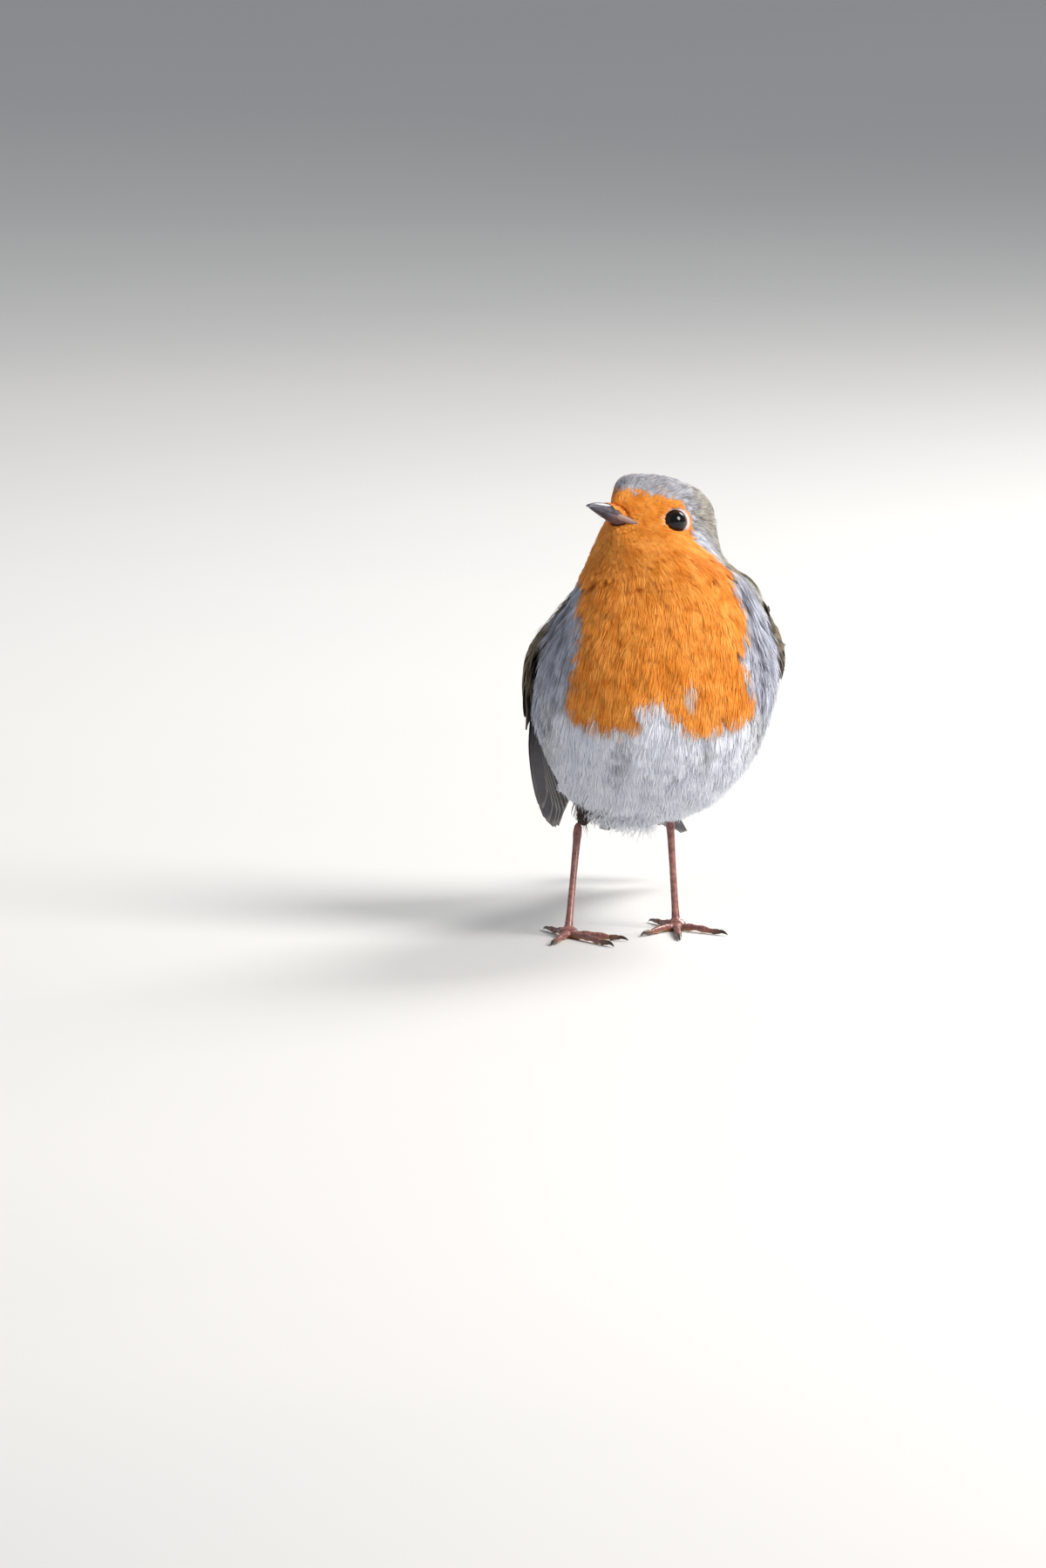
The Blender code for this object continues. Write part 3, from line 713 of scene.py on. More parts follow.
def coat(name, slot, where, spacing, length, width, barbs, barb_width, soil=None, marks_of=markings,
         depth_of=coat_depth, open_ness=0.0, ragged=0.12, bare=0.26, girth=17.0):
    """One piece of the coat: feathers rooted where the mask says, of a length and width in millimetres.

    The barbs leave a feather's own line past its bare part. open_ness and ragged are how loose and uneven
    they are, and girth is the radius that the feather is bowed round.
    """
    soil = soil or skin_ground
    roots, normals, root_uv = rooted(soil, where, spacing)
    count = len(roots)
    by_eye = np.min([gap(roots, eye) for eye in EYES.values()], axis=0)
    size = rng.normal(1, 0.10, count).clip(0.7, 1.3) * (0.45 + 0.55 * smoothstep(3.4, 7.0, by_eye))
    lengths = (length(roots) if callable(length) else np.full(count, length)) * size
    line, outs, ways = laid_back(soil, roots, normals, lengths)
    last = line.shape[1] - 1
    depth = depth_of(line.reshape(-1, 3)).reshape(count, last + 1)
    loft = rng.normal(0.0, 0.13, count)
    # how far along its feather and how far aside each barb leaves and ends
    across = (np.linspace(-1, 1, barbs)[None, :] + rng.normal(0, 0.5 / barbs, (count, barbs))).clip(-1, 1)
    uneven = 1 + rng.normal(0, ragged * 0.5, (count, barbs))
    tip_along = (0.62 + 0.36 * np.sqrt(1 - across**2 * 0.96)) * uneven
    base_along = bare + (0.52 - bare * 0.4) * (1 - np.abs(across)) + rng.normal(0, 0.02, (count, barbs))
    tip_side = across * 0.5 * width * size[:, None] * (1 + open_ness * rng.normal(0, 0.5, (count, barbs)))
    along = base_along[..., None] + (tip_along - base_along)[..., None] * BARB_STEPS
    side = tip_side[..., None] * (0.12 + 0.88 * (1 - (1 - BARB_STEPS) ** 2.6))
    barb_loft = rng.normal(0, 0.10 + 0.25 * open_ness, (count, barbs, 1))
    # each barb point's place between two stations of its feather's line, and how far past the last
    place = (along * last).clip(0, last - 0.0001)
    k = place.astype(int)
    t = (place - k)[..., None]
    row = np.arange(count)[:, None, None]

    def between(values):
        share = t if values.ndim == 3 else t[..., 0]
        return values[row, k] * (1 - share) + values[row, np.minimum(k + 1, last)] * share

    # the barbs' points, risen over the skin and bowed round the body
    on_line, deep = between(line), between(depth)
    out, way = unit(between(outs)), unit(between(ways))
    over = (along * last - place).clip(0, 2)[..., None] * (lengths / last)[:, None, None, None]
    rise = deep * (0.10 + 0.85 * smoothstep(-0.15, 0.95, along) + (loft[:, None, None] + barb_loft) * along)
    bow = side**2 / (2 * girth)
    spots = on_line + way * over + np.cross(way, out) * side[..., None] + out * (rise - bow)[..., None]
    # each barb is a twisted strip of two quads with a triangle for its tip
    forward = unit(np.gradient(spots, axis=2))
    twist = rng.normal(0, 0.35, (count, barbs, 1, 1))
    edge = unit(np.cross(forward, out) * np.cos(twist) + out * np.sin(twist))
    half = edge[:, :, :3] * ((0.5 * barb_width * BARB_TAPER)[None, None, :, None] * size[:, None, None, None])
    strip = np.stack([spots[:, :, :3] - half, spots[:, :, :3] + half], axis=3)
    corners = np.concatenate([strip.reshape(count, barbs, 6, 3), spots[:, :, 3:]], axis=2)
    base = (np.arange(count * barbs) * 7)[:, None]
    quads = np.concatenate([base + np.array([[0, 1, 3, 2]]), base + np.array([[2, 3, 5, 4]])])
    points = base + np.array([[4, 5, 6]])
    # its place on the map, and the markings where its outer part lies
    strand = np.concatenate([np.repeat(along[..., :3], 2, axis=2), along[..., 3:]], axis=2)
    u = np.repeat(across[..., None] * 0.42, 7, axis=2) + np.array([-1, 1, -1, 1, -1, 1, 0]) * 0.42 / barbs
    uvs = root_uv[:, None, None, :] + PATCH * np.stack([u, strand - 0.55], axis=3)
    shown = on_line[:, :, 3] + rng.normal(0, 0.25, (count, barbs, 3)) + rng.normal(0, 0.4, (count, 1, 3))
    shown = shown + out[:, :, 3] * deep[:, :, 3:]
    numbers = {mark: np.repeat(share, 7) for mark, share in marks_of(shown.reshape(-1, 3)).items()}
    luck = rng.random((count, 1)) * 0.6 + rng.random((count, barbs)) * 0.4
    numbers.update(along=strand.ravel(), chance=np.repeat(luck.ravel(), 7))
    piece = meshed(name, corners.reshape(-1, 3), [quads, points], uvs.reshape(-1, 2), numbers)
    return finished(piece, plumage, slot)


def grown(near_size, far_size, reach=20.0):
    """A length that grows away from the bill."""
    return lambda points: np.interp(gap(points, BILL_ROOT), (2, reach), (near_size, far_size))


def even(depth):
    """One depth all over."""
    return lambda points: np.full(len(points), depth)


def pressed_depth(points):
    """As coat_depth, but flatter low on the right side, where the drooped wing presses the feathers down."""
    _, down, _ = on_body(points)
    low = smoothstep(44, 54, down) * (1 - smoothstep(76, 88, down))
    return coat_depth(points) * (1 - 0.65 * (smoothstep(14.0, 25.0, -points[:, 0]) * low))


def flank_depth(points):
    """Fluffed out high on the flanks, the more on the left."""
    _, down, _ = on_body(points)
    return pressed_depth(points) + np.where(points[:, 0] > 0, 1.4, 0.7) * (1 - smoothstep(40, 60, down))


def scapular_depth(points):
    """Highest where the scapulars lap over the folded wings."""
    _, down, _ = on_body(points)
    return 1.2 + 3.2 * np.exp(-(((down - 52) / 17) ** 2))


# Where the parts of the front begin, down the spine from the crown, and how far the face and leg reach
THROAT, BREAST, BELLY, LOWER_BELLY, VENT = 22, 36, 53, 68, 86
FACE_REACH = 13.5  # from the bill's root
BILL_CLEAR = 1.3  # around the bill's root, where the bill's own feathers are
LEG_REACH = 11  # from the ankle
# Masks over the skin's triangles, by the distance down the spine, the angle from the front and what is near
near_ankle = gap(middles, ANKLE)
side_of = np.abs(angle_skin)
off_leg = near_ankle > LEG_REACH
wing_front = np.where(down_skin < 30, 104.0, 91.0)  # behind this angle is what the folded wings hide
ahead_of_wings = side_of < wing_front
lid_clear = near_eye > LID_RADIUS + 0.55
face = (down_skin < 27) & (from_bill_root < FACE_REACH) & lid_clear & (from_bill_root > BILL_CLEAR)
crown = (down_skin < THROAT) & (from_bill_root >= FACE_REACH) & lid_clear
coat("coat_face", "orange_plumage", face, 0.60, grown(1.3, 4.4), 1.6, 18, 0.09, bare=0.02)
coat("coat_crown", "olive_plumage", crown, 0.95, 5.2, 2.5, 22, 0.12, bare=0.08)
bib = (down_skin >= THROAT) & (down_skin < BELLY) & ~face & ahead_of_wings
coat("coat_throat", "orange_plumage", bib & (down_skin < BREAST), 1.25, 8.0, 3.6, 38, 0.125)
coat("coat_breast", "orange_plumage", bib & (down_skin >= BREAST), 1.45, 9.5, 4.6, 44, 0.14)
belly = (down_skin >= BELLY) & (down_skin < VENT) & ahead_of_wings & off_leg
for name, part in (("coat_belly", down_skin < LOWER_BELLY), ("coat_lower_belly", down_skin >= LOWER_BELLY)):
    coat(name, "pale_plumage", belly & part, 1.72, 11.5, 6.0, 60, 0.12, open_ness=0.3, ragged=0.3,
         depth_of=pressed_depth)
vent = (down_skin >= VENT) & (side_of < 100) & off_leg
coat("coat_vent", "pale_plumage", vent, 1.8, 11.0, 5.5, 42, 0.15, open_ness=0.3, ragged=0.3)
x, y, z = middles.T
under = (z < 33) & (np.abs(x + 8.5) < 8) & (y > -48) & (y < -18) & (near_ankle > 10)
coat("coat_down", "pale_plumage", under, 2.2, 10.0, 5.5, 44, 0.13, open_ness=0.5, ragged=0.4,
     depth_of=lambda points: coat_depth(points) + 1.8)
under_wing = (down_skin > 34) & (down_skin < 80) & (side_of < 116)
behind_wings = side_of >= np.where(down_skin < 80, wing_front, 100.0)
mantle = (down_skin >= THROAT) & behind_wings & off_leg & ~under_wing
coat("coat_back", "olive_plumage", mantle, 1.7, 10.0, 5.2, 40, 0.15)
thigh = (near_ankle <= 8.5) & (z > ANKLE[2] + 0.5)
coat("coat_ankle", "olive_plumage", thigh, 0.50, 1.15, 0.8, 9, 0.11, bare=0.02, ragged=0.05, girth=3.5)
thigh_top = (near_ankle > 8.0) & (near_ankle <= 11.5)
coat("coat_thigh", "pale_plumage", thigh_top, 0.9, 3.6, 2.2, 24, 0.10, open_ness=0.2, ragged=0.2, bare=0.1,
     girth=6.0)
flanks = (side_of > 72) & (side_of < np.where(angle_skin > 0, 99, 93)) & (down_skin > 27) & (down_skin < 66)
coat("coat_flanks", "olive_plumage", flanks, 1.9, 9.5, 5.0, 44, 0.13, open_ness=0.3, ragged=0.3, bare=0.15,
     depth_of=flank_depth)
hollow = (down_skin > 30) & (down_skin < 64) & (side_of > wing_front - 3) & (side_of < 118)
coat("coat_under_wings", "olive_plumage", hollow, 1.7, 7.5, 4.5, 34, 0.14, open_ness=0.2, ragged=0.3,
     bare=0.15, depth_of=even(0.45))
collar = (side_of > 88) & (side_of < 150) & (down_skin > THROAT) & (down_skin < BREAST)
coat("coat_collar", "olive_plumage", collar, 1.9, 10.5, 5.5, 44, 0.14, ragged=0.2, bare=0.15,
     depth_of=lambda points: coat_depth(points) + 1.5)
shoulders = (side_of > 112) & (side_of < 142) & (down_skin > 34) & (down_skin < 72)
coat("coat_scapulars", "olive_plumage", shoulders, 2.3, 14.0, 7.0, 50, 0.17, bare=0.2,
     depth_of=scapular_depth)


# ---------------------------------------------------------------- wings
# Each folded wing is a thin arm under small coverts, with stiff vanes in overlapping rows: median and greater
# coverts, tertials, secondaries and primaries. A vane is a closed, cambered leaf with a shaft along it.

VANE_THICKNESS = 0.11
VANE_ROWS, VANE_LANES = 15, 9  # corners along and across a vane
ROOT_SUNK = 1.6  # how deep a vane's root lies under the feathers before it
SHAFT_WIDTH = 0.16
SHAFT_HEIGHT = 0.10


def outward(node, away_from):
    """The mean way the outer faces of a node look, away from a point."""
    total = np.zeros(3)
    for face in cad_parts[node].data.polygons:
        way = np.array(face.normal)
        if way @ unit(np.array(face.center) * 1000 - away_from) > 0.5:
            total += way * face.area
    return unit(total)


def plan_of(root_node, tip_node, away_from, curl=0.0):
    """Axes of a wing or tail and a smooth sheet through its solids' outer face. curl tucks its upper edge."""
    corners = np.concatenate([points_of(root_node), points_of(tip_node)])
    way = unit(middle_of(tip_node) - (middle_of(root_node) if root_node != tip_node else TAIL_ROOT))
    reach = corners @ way
    root = corners[reach < reach.min() + 1.0].mean(0)
    tip = corners[reach > reach.max() - 1.0].mean(0)
    way = unit(tip - root)
    outs = [outward(node, away_from) for node in (root_node, tip_node)]
    plan = {"root": root, "way": way, "length": np.linalg.norm(tip - root), "curl": curl,
            "outs": [unit(out - way * (out @ way)) for out in outs]}
    solids = [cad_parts[node].data for node in {root_node, tip_node}]
    trees = [BVHTree.FromPolygons([v.co * 1000 for v in solid.vertices], [p.vertices for p in solid.polygons])
             for solid in solids]
    rows = []
    for s in np.linspace(1.5, plan["length"] - 1.5, 30):
        for w in np.linspace(-11, 20, 24):
            flat, out = on_plan(plan, s, w)
            hits = [tree.ray_cast(Vector(flat + out * 30), Vector(-out))[3] for tree in trees]
            hits = [hit for hit in hits if hit is not None]
            if hits:
                rows.append((s, w, 30 - min(hits)))
    s, w, h = np.array(rows).T
    plan["sheet"] = np.linalg.lstsq(sheet_terms(plan, s, w), h, rcond=None)[0]
    return plan


def sheet_terms(plan, s, w):
    a, b = s / plan["length"], w / 12.0
    return np.stack([a**i * b**j for i in range(5) for j in range(3)], axis=-1)


def on_plan(plan, s, w):
    """The point of a wing's plane s millimetres from its root and w across it, and the way it looks."""
    s, w = np.asarray(s, float)[..., None], np.asarray(w, float)[..., None]
    share = np.clip((s / plan["length"] - 0.25) / 0.5, -0.3, 1.3)
    out = unit(plan["outs"][0] * (1 - share) + plan["outs"][1] * share)
    across = np.cross(out, plan["way"])
    across = across * np.where(across[..., 2:] < 0, -1, 1)
    return plan["root"] + plan["way"] * s + across * w, out


def vanes(name, plan, feathers, slot, *replaced, tilt=0.08, camber=0.30):
    """Stiff feathers as one piece, each (base s, base w, tip s, tip w, lead, trail, height, point, tone)."""
    table = np.array(feathers, float).T[:, :, None, None]
    base_s, base_w, tip_s, tip_w, lead, trail, height, point, tone = table
    count, rows, lanes = len(feathers), VANE_ROWS, VANE_LANES
    # each outline, narrow at the root and blunt at the tip, in the wing's own s and w
    t = np.linspace(0, 1, rows)[None, :, None]
    x = np.linspace(-1, 1, lanes)[None, None, :]
    blunt = np.where(t > 1 - point, 1 - ((t - 1 + point) / point) ** 2, 1).clip(0.0, 1) ** 0.5
    shape = np.minimum(1, 0.25 + 4.0 * t) * (0.05 + 0.95 * blunt)
    half = np.where(x < 0, lead, trail)
    off = x * (half * shape)
    bend = 0.035 * (tip_s - base_s) * np.sin(math.pi * t)
    long = (tip_s - base_s) * t + 0 * x
    s = base_s + long
    w = base_w + (tip_w - base_w) * t - bend * np.sign(tip_w - base_w + 0.01) * 0.4 + off
    # the height of its upper face over the plane: sheet, camber, tilt, ruffle and shaft
    flat, out = on_plan(plan, s, w)
    sheet = (sheet_terms(plan, s, w) * plan["sheet"]).sum(-1)
    lifted = rng.normal(0, 0.05, (count, 1, 1))
    ruffle = lifted + 0.05 * np.sin(9 * t + 5 * rng.random((count, 1, 1))) * np.abs(x)
    shaft = np.exp(-((off / SHAFT_WIDTH) ** 2)) * SHAFT_HEIGHT * (1 - 0.6 * t)
    sunk = -ROOT_SUNK * (1 - smoothstep(0.0, 0.5, t))
    tucked = -plan["curl"] * np.maximum(0, w - 8.0) ** 2
    top = sheet + height + sunk + camber * (1 - x**2) * shape - tilt * off + ruffle + shaft + tucked
    thin = VANE_THICKNESS * (0.25 + 0.75 * (1 - x**4)) * (1 - 0.6 * t)
    upper = flat + out * top[..., None]
    lower = flat + out * (top - thin)[..., None]
    corners = np.concatenate([upper.reshape(count, -1, 3), lower.reshape(count, -1, 3)], axis=1)
    # its upper, lower and rim faces, turned to look outwards
    cell = (np.arange(rows - 1)[:, None] * lanes + np.arange(lanes - 1)[None, :]).ravel()
    quad = np.stack([cell, cell + 1, cell + lanes + 1, cell + lanes], axis=1)
    flip = quad[:, ::-1] + rows * lanes
    rim = np.concatenate([
        np.arange(lanes), np.arange(1, rows) * lanes + lanes - 1,
        (rows - 1) * lanes + np.arange(lanes - 2, -1, -1), np.arange(rows - 2, 0, -1) * lanes,
    ])
    after = np.roll(rim, -1)
    wall = np.stack([after, rim, rim + rows * lanes, after + rows * lanes], axis=1)
    one = np.concatenate([quad, flip, wall])
    way_out = np.cross(upper[0, 1, 5] - upper[0, 1, 4], upper[0, 2, 4] - upper[0, 1, 4]) @ out[0, 1, 4]
    one = one if way_out > 0 else one[:, ::-1]
    faces = (np.arange(count) * rows * lanes * 2)[:, None, None] + one[None]
    uvs = np.tile(np.stack([off, long], axis=-1).reshape(count, -1, 2), (1, 2, 1)) * MM
    from_rim = np.minimum((1 - np.abs(x)) * half * shape, (1 - t) * 6.0 + 0.02)

    def twice(values):
        """The same numbers for a vane's upper and lower faces."""
        return np.tile(np.broadcast_to(values, off.shape).reshape(count, -1), 2).ravel()

    numbers = {"edge": twice(from_rim), "tone": twice(tone), "off_shaft": twice(off),
               "under": np.repeat(np.tile([0.0, 1.0], count), rows * lanes), "along": twice(t)}
    piece = meshed(name, corners.reshape(-1, 3), [faces.reshape(-1, 4)], uvs.reshape(-1, 2), numbers, "Vane")
    return finished(piece, vane_finish, slot, *replaced)


vane_finish = Finish("feather_vanes", 0.55, Sheen_Weight=0.08, Specular_IOR_Level=0.3)
edge = vane_finish.attribute("edge")
tone = vane_finish.attribute("tone")
off_shaft = vane_finish.attribute("off_shaft")
under = vane_finish.attribute("under")
vane_map = vane_finish.node("UVMap", {"uv_map": "Vane"})
slant = vane_finish.node("SeparateXYZ", None, vane_map, out=1) * 1000.0
side_of_shaft = off_shaft.maths("ABSOLUTE", off_shaft)
barb_wave = ((slant - side_of_shaft * 0.9) * 12.0).sine()
cloud = vane_finish.noise(420.0, 4.0)
brown = vane_finish.mix(cloud.held(0.3, 0.7), tint("3d3026"), tint("574735"))
olive_web = vane_finish.mix(cloud.held(0.3, 0.7), tint("6b5a3e"), tint("86744f"))
outer_web = (0.0 - off_shaft).held(0.0, 0.5)
web = vane_finish.mix(outer_web * 0.75, brown, olive_web)
web = vane_finish.mix(tone, brown, web)
fringe_share = (0.34 - edge + cloud * 0.12).held(0.0, 0.30) * vane_finish.attribute("along").held(0.35, 0.7)
web = vane_finish.mix(fringe_share * (0.25 + 0.6 * tone), web, tint("b59a6b"))
# the undersides are slate; their pale rim is partly the feathers' own pale edges and partly painted light
# where the thin edges glow
slate = vane_finish.mix((0.30 - edge).held(0.0, 0.25) * 0.7, tint("47464c"), tint("aaa6a0"))
web = vane_finish.mix(under, web, slate)
web = vane_finish.mix((0.17 - side_of_shaft).held(0.0, 0.10) * 0.7, web, tint("2b211a"))
vane_finish.feed("Base Color", vane_finish.shaded(web, 0.96 + 0.06 * barb_wave + 0.20 * (cloud - 0.5)))
vane_finish.bump(barb_wave * 0.5 + 0.5, 0.00003, 0.5)


def row(count, first, last, lead, trail, heights, point, tone_of):
    """A row of like feathers between the first and last, given as (base s, base w, tip s, tip w)."""
    made = []
    for t in np.linspace(0, 1, count):
        nudge = rng.normal(0, 0.25, 4) * (1, 0.3, 1.6, 0.6)
        values = np.array([a + (b - a) * t for a, b in zip(first, last)]) + nudge
        made.append((*values, lead, trail, heights[0] + (heights[1] - heights[0]) * t, point, tone_of))
    return made


BODY_MIDDLE = middle_of("belly") * (1, 1, 0) + (0, 0, 55)
# the arm's deep dusky share is painted shade under the coverts, over its own olive-brown
SHADED_ARM_MARKS = {"orange": 0.0, "white": 0.0, "grey": 0.0, "dusky": 0.65, "parted": 0.0}


def covert_marks(points):
    """Small coverts are olive all over, and paler than the arm under them, whose deeper dusky share is
    painted shade.
    """
    return {mark: np.full(len(points), share) for mark, share in {**SHADED_ARM_MARKS, "dusky": 0.32}.items()}


for side, curl in (("left", 0.055), ("right", 0.015)):
    arm_node, hand_node = f"wing_{side}", f"flight_feathers_{side}"
    plan = plan_of(arm_node, hand_node, BODY_MIDDLE, curl)
    span = plan["length"]
    primaries = []
    for t in np.linspace(0, 1, 9):
        tip_s = span * np.interp(t, (0, 0.14, 0.3, 0.5, 1.0), (0.89, 0.965, 0.995, 1.0, 0.93)) - 0.6
        line = (20 + 12 * t, -6.8 + 5.4 * t, tip_s, -3.3 + 7.6 * t)
        primaries.append((*line, 1.7, 3.4, -1.0 + 0.25 * t, 0.13, 0.35))
    first, last = (24, -1.2, span * 0.80, 2.4), (29, 7.0, span * 0.72, 8.2)
    secondaries = row(7, first, last, 2.0, 4.2, (-0.7, -0.35), 0.13, 0.55)
    tertials = [(24, 9.0, span * 0.735, 8.8, 3.0, 4.4, -0.15, 0.22, 0.7),
                (23, 11.0, span * 0.66, 11.2, 3.2, 4.4, 0.0, 0.25, 0.75),
                (21, 12.5, span * 0.57, 13.6, 3.3, 4.4, 0.15, 0.28, 0.8)]
    vanes(f"{hand_node}_vanes", plan, primaries + secondaries + tertials, "wing_feathers", hand_node)
    greater = row(10, (11, -4.8, 31.0, -5.4), (12, 13.5, 29.0, 15.5), 2.1, 2.9, (0.10, 0.35), 0.22, 0.9)
    outer = row(4, (10, -7.2, 30.0, -7.4), (11, -5.2, 33.5, -4.6), 1.1, 1.7, (-0.1, 0.05), 0.3, 0.55)
    alula = row(3, (6.5, -5.8, 18.5, -8.2), (7.5, -4.6, 24.0, -6.8), 1.1, 1.6, (0.2, 0.35), 0.35, 0.4)
    median = row(9, (5.0, -3.6, 19.0, -5.0), (6.5, 11.5, 18.0, 14.0), 1.9, 2.3, (0.45, 0.6), 0.35, 1.0)
    vanes(f"{arm_node}_coverts", plan, outer + greater + alula + median, "olive_plumage")
    arm = cast_of(arm_node, f"{arm_node}_arm")
    merged(arm)
    remeshed(arm, 0.0006, 6)
    unwrapped(arm, 0.004)
    spots = corners_of(arm)
    flat, out = on_plan(plan, (spots - plan["root"]) @ plan["way"], 0.0)
    across = np.cross(out, plan["way"])
    up_wing = ((spots - flat) * across).sum(1) * np.where(across[:, 2] < 0, -1, 1)
    tucked = curl * np.maximum(0, up_wing - 7.0) ** 2 + 0.6 * smoothstep(6.0, 10.0, up_wing)
    reshape_to(arm, spots - normals_of(arm) * 0.50 - out * tucked[:, None])
    # the arm is darkened with painted shade where it shows between and under the coverts
    note(arm, **SHADED_ARM_MARKS, along=0.6, chance=0.5)
    finished(arm, plumage, "olive_plumage", arm_node)
    arm_ground = ground(arm, lambda points, outs: unit(plan["way"] - outs * (outs @ plan["way"])[:, None]))
    from_root = arm_ground["middles"] - plan["root"]
    reach = from_root @ plan["way"]
    lesser = (reach > 3) & (reach < np.where(from_root @ on_plan(plan, 10.0, 0.0)[1] > -1.0, 14.0, 9.0))
    small = (("marginal", reach < 6.5, 0.85, 2.8, 1.7, 0.3), ("lesser", lesser, 1.3, 4.8, 2.9, 0.5))
    for label, where, *sizes, deep in small:
        coat(f"{arm_node}_{label}_coverts", "olive_plumage", where, *sizes, 18, 0.14, soil=arm_ground,
             marks_of=covert_marks, depth_of=even(deep), bare=0.02)

# ---------------------------------------------------------------- tail
# Twelve tail feathers fan out a little from the rump, the middle pair on top. Their roots are hidden above by
# two rows of coverts and below by the vent's feathers.

tail_plan = plan_of("tail", "tail", middle_of("tail") - (0, 0, 40))
tail_span = tail_plan["length"]
wide_side = 1 if on_plan(tail_plan, 40.0, 5.0)[0][0] > on_plan(tail_plan, 40.0, -5.0)[0][0] else -1
rectrices = []
for k in range(6):
    t = k / 5
    for sign in (1, -1):
        tip_s = tail_span - 1.2 * (1 - t) - 2.0 * max(0, t - 0.8)
        tip_w = sign * (0.9 + (8.8 if sign == wide_side else 7.0) * t)
        height = 0.05 - 0.16 * k + (0.06 if sign > 0 else 0)
        webs = (2.7, 1.9) if sign < 0 else (1.9, 2.7)
        rectrices.append((1.0, sign * (0.4 + 2.2 * t), tip_s, tip_w, *webs, height, 0.10, 0.45 if k else 0.6))
vanes("tail_feathers", tail_plan, rectrices, "wing_feathers", "tail", tilt=0.0)
upper_coverts = row(7, (-5.0, -4.6, 13.0, -5.2), (-5.0, 4.6, 13.0, 5.2), 2.2, 2.2, (0.9, 0.9), 0.4, 1.0)
upper_coverts += row(5, (-7.0, -3.0, 7.0, -3.4), (-7.0, 3.0, 7.0, 3.4), 2.4, 2.4, (1.5, 1.5), 0.4, 1.0)
vanes("tail_coverts", tail_plan, upper_coverts, "olive_plumage", tilt=0.0)

# ---------------------------------------------------------------- eyes
# Each eye is a glossy glass ball, dark brown round a black pupil, with a slight bulge over it. It fills the
# ring of its lids and is held by them.

PUPIL_RADIUS = 1.75
CORNEA_BULGE = 0.22
eye_finish = Finish("eye", 0.03, Specular_IOR_Level=0.38)
to_pupil = eye_finish.attribute("to_pupil")
iris = eye_finish.mix(eye_finish.noise(3000.0, 2.0).held(0.35, 0.7), tint("120a06"), tint("24150c"))
eye_finish.feed("Base Color", eye_finish.mix((to_pupil - PUPIL_RADIUS).held(0.0, 0.2), tint("020202"), iris))
for side, eye in EYES.items():
    ball = primitive(bpy.ops.mesh.primitive_uv_sphere_add, f"{side}_eye", segments=48, ring_count=32,
                     radius=EYE_RADIUS * MM, location=eye * MM)
    bpy.ops.object.shade_smooth()
    rel = corners_of(ball) - eye
    front = rel @ EYE_AXIS[side]
    off_axis = gap(rel, front[:, None] * EYE_AXIS[side])
    note(ball, to_pupil=np.where(front > 0, off_axis, 9.0))
    bulge = CORNEA_BULGE * np.exp(-((off_axis / 1.9) ** 2)) * (front > 0)
    reshape_to(ball, corners_of(ball) + EYE_AXIS[side] * bulge[:, None])
    finished(ball, eye_finish, "eye", f"eye_{side}")

# ---------------------------------------------------------------- bill
# A slim insect-eater's bill of dark horn in two halves. The upper has a ridge, a slit nostril each side and a
# tip that hooks a little over the lower. Both go pinkish at the gape, which is fringed with stiff bristles.

NOSTRIL_FROM_TIP = 7.2
HOOK = 0.28


def bill_half(half):
    """Reshapes a sphere, its poles at root and tip, into half the bill that the solid gives the size of."""
    forward, aside, above = from_head(points_of(f"bill_{half}")).T
    sign = 1 if half == "upper" else -1
    root, tip = forward.min() + 0.2, forward.max()
    half_width = np.abs(aside).max()
    at_root = above[forward < forward.min() + 0.5] * sign
    mouth = (sign * at_root.min(), np.median(above[forward > tip - 0.3]) - 0.15 * sign)
    deep = at_root.max() - at_root.min()
    add = bpy.ops.mesh.primitive_uv_sphere_add
    piece = primitive(add, f"{half}_bill", segments=40, ring_count=60, radius=1)
    bpy.ops.object.shade_smooth()
    # share runs from the root to the tip, and cx and cy go round
    x, y, z = numbers_of(piece, "co").T
    share = (1 + z) / 2
    ring = np.maximum(np.sqrt(np.maximum(1e-9, 1 - z**2)), 1e-4)
    cx, cy = x / ring, y / ring
    closing = ((1 - share) / 0.045).clip(0, 1) ** 0.5 * (share / 0.03).clip(0, 1) ** 0.5
    wide = (0.50 + (half_width - 0.50) * (1 - share) ** 0.8) * closing
    high = (0.40 + (deep - 0.40) * (1 - share ** (2.6 if sign > 0 else 2.2))) * closing
    hook = HOOK * smoothstep(0.80, 1.0, share) if sign > 0 else 0
    mouth_line = mouth[0] + (mouth[1] - mouth[0]) * share - hook
    domed = np.where(cy > 0, cy, 0.0)
    inside = np.where(cy < 0, cy, 0.0)
    ridge = 0.10 * np.exp(-((cx / 0.16) ** 2)) * (cy > 0) * (1 - share) if sign > 0 else 0
    left = wide * cx * (1 - 0.10 * domed**2)
    up = mouth_line + sign * (high * (domed**0.92 + ridge) + 0.06 * inside * closing)
    ahead = root + (tip - root) * share
    nostril = np.zeros(len(x))  # only the upper half has them
    if sign > 0:
        at = np.hypot((ahead - (tip - NOSTRIL_FROM_TIP)) / 0.9, (up - mouth_line - 0.55 * high) / 0.26)
        nostril = np.exp(-(at**2)) * (np.abs(cx) > 0.3)
        left = left - np.sign(cx) * 0.22 * nostril
    reshape_to(piece, HEAD + np.stack([ahead, left, up], axis=1) @ HEAD_AXES)
    in_edit_mode(piece, bpy.ops.mesh.normals_make_consistent, inside=False)
    # hollow carries the nostril slits, which the horn paints near black as painted shade in the openings
    note(piece, share=share, hollow=nostril, low=float(sign < 0),
         near_mouth=np.exp(-((np.abs(up - mouth_line) / 0.5) ** 2)))
    return finished(piece, horn, "bill_horn", f"bill_{half}")


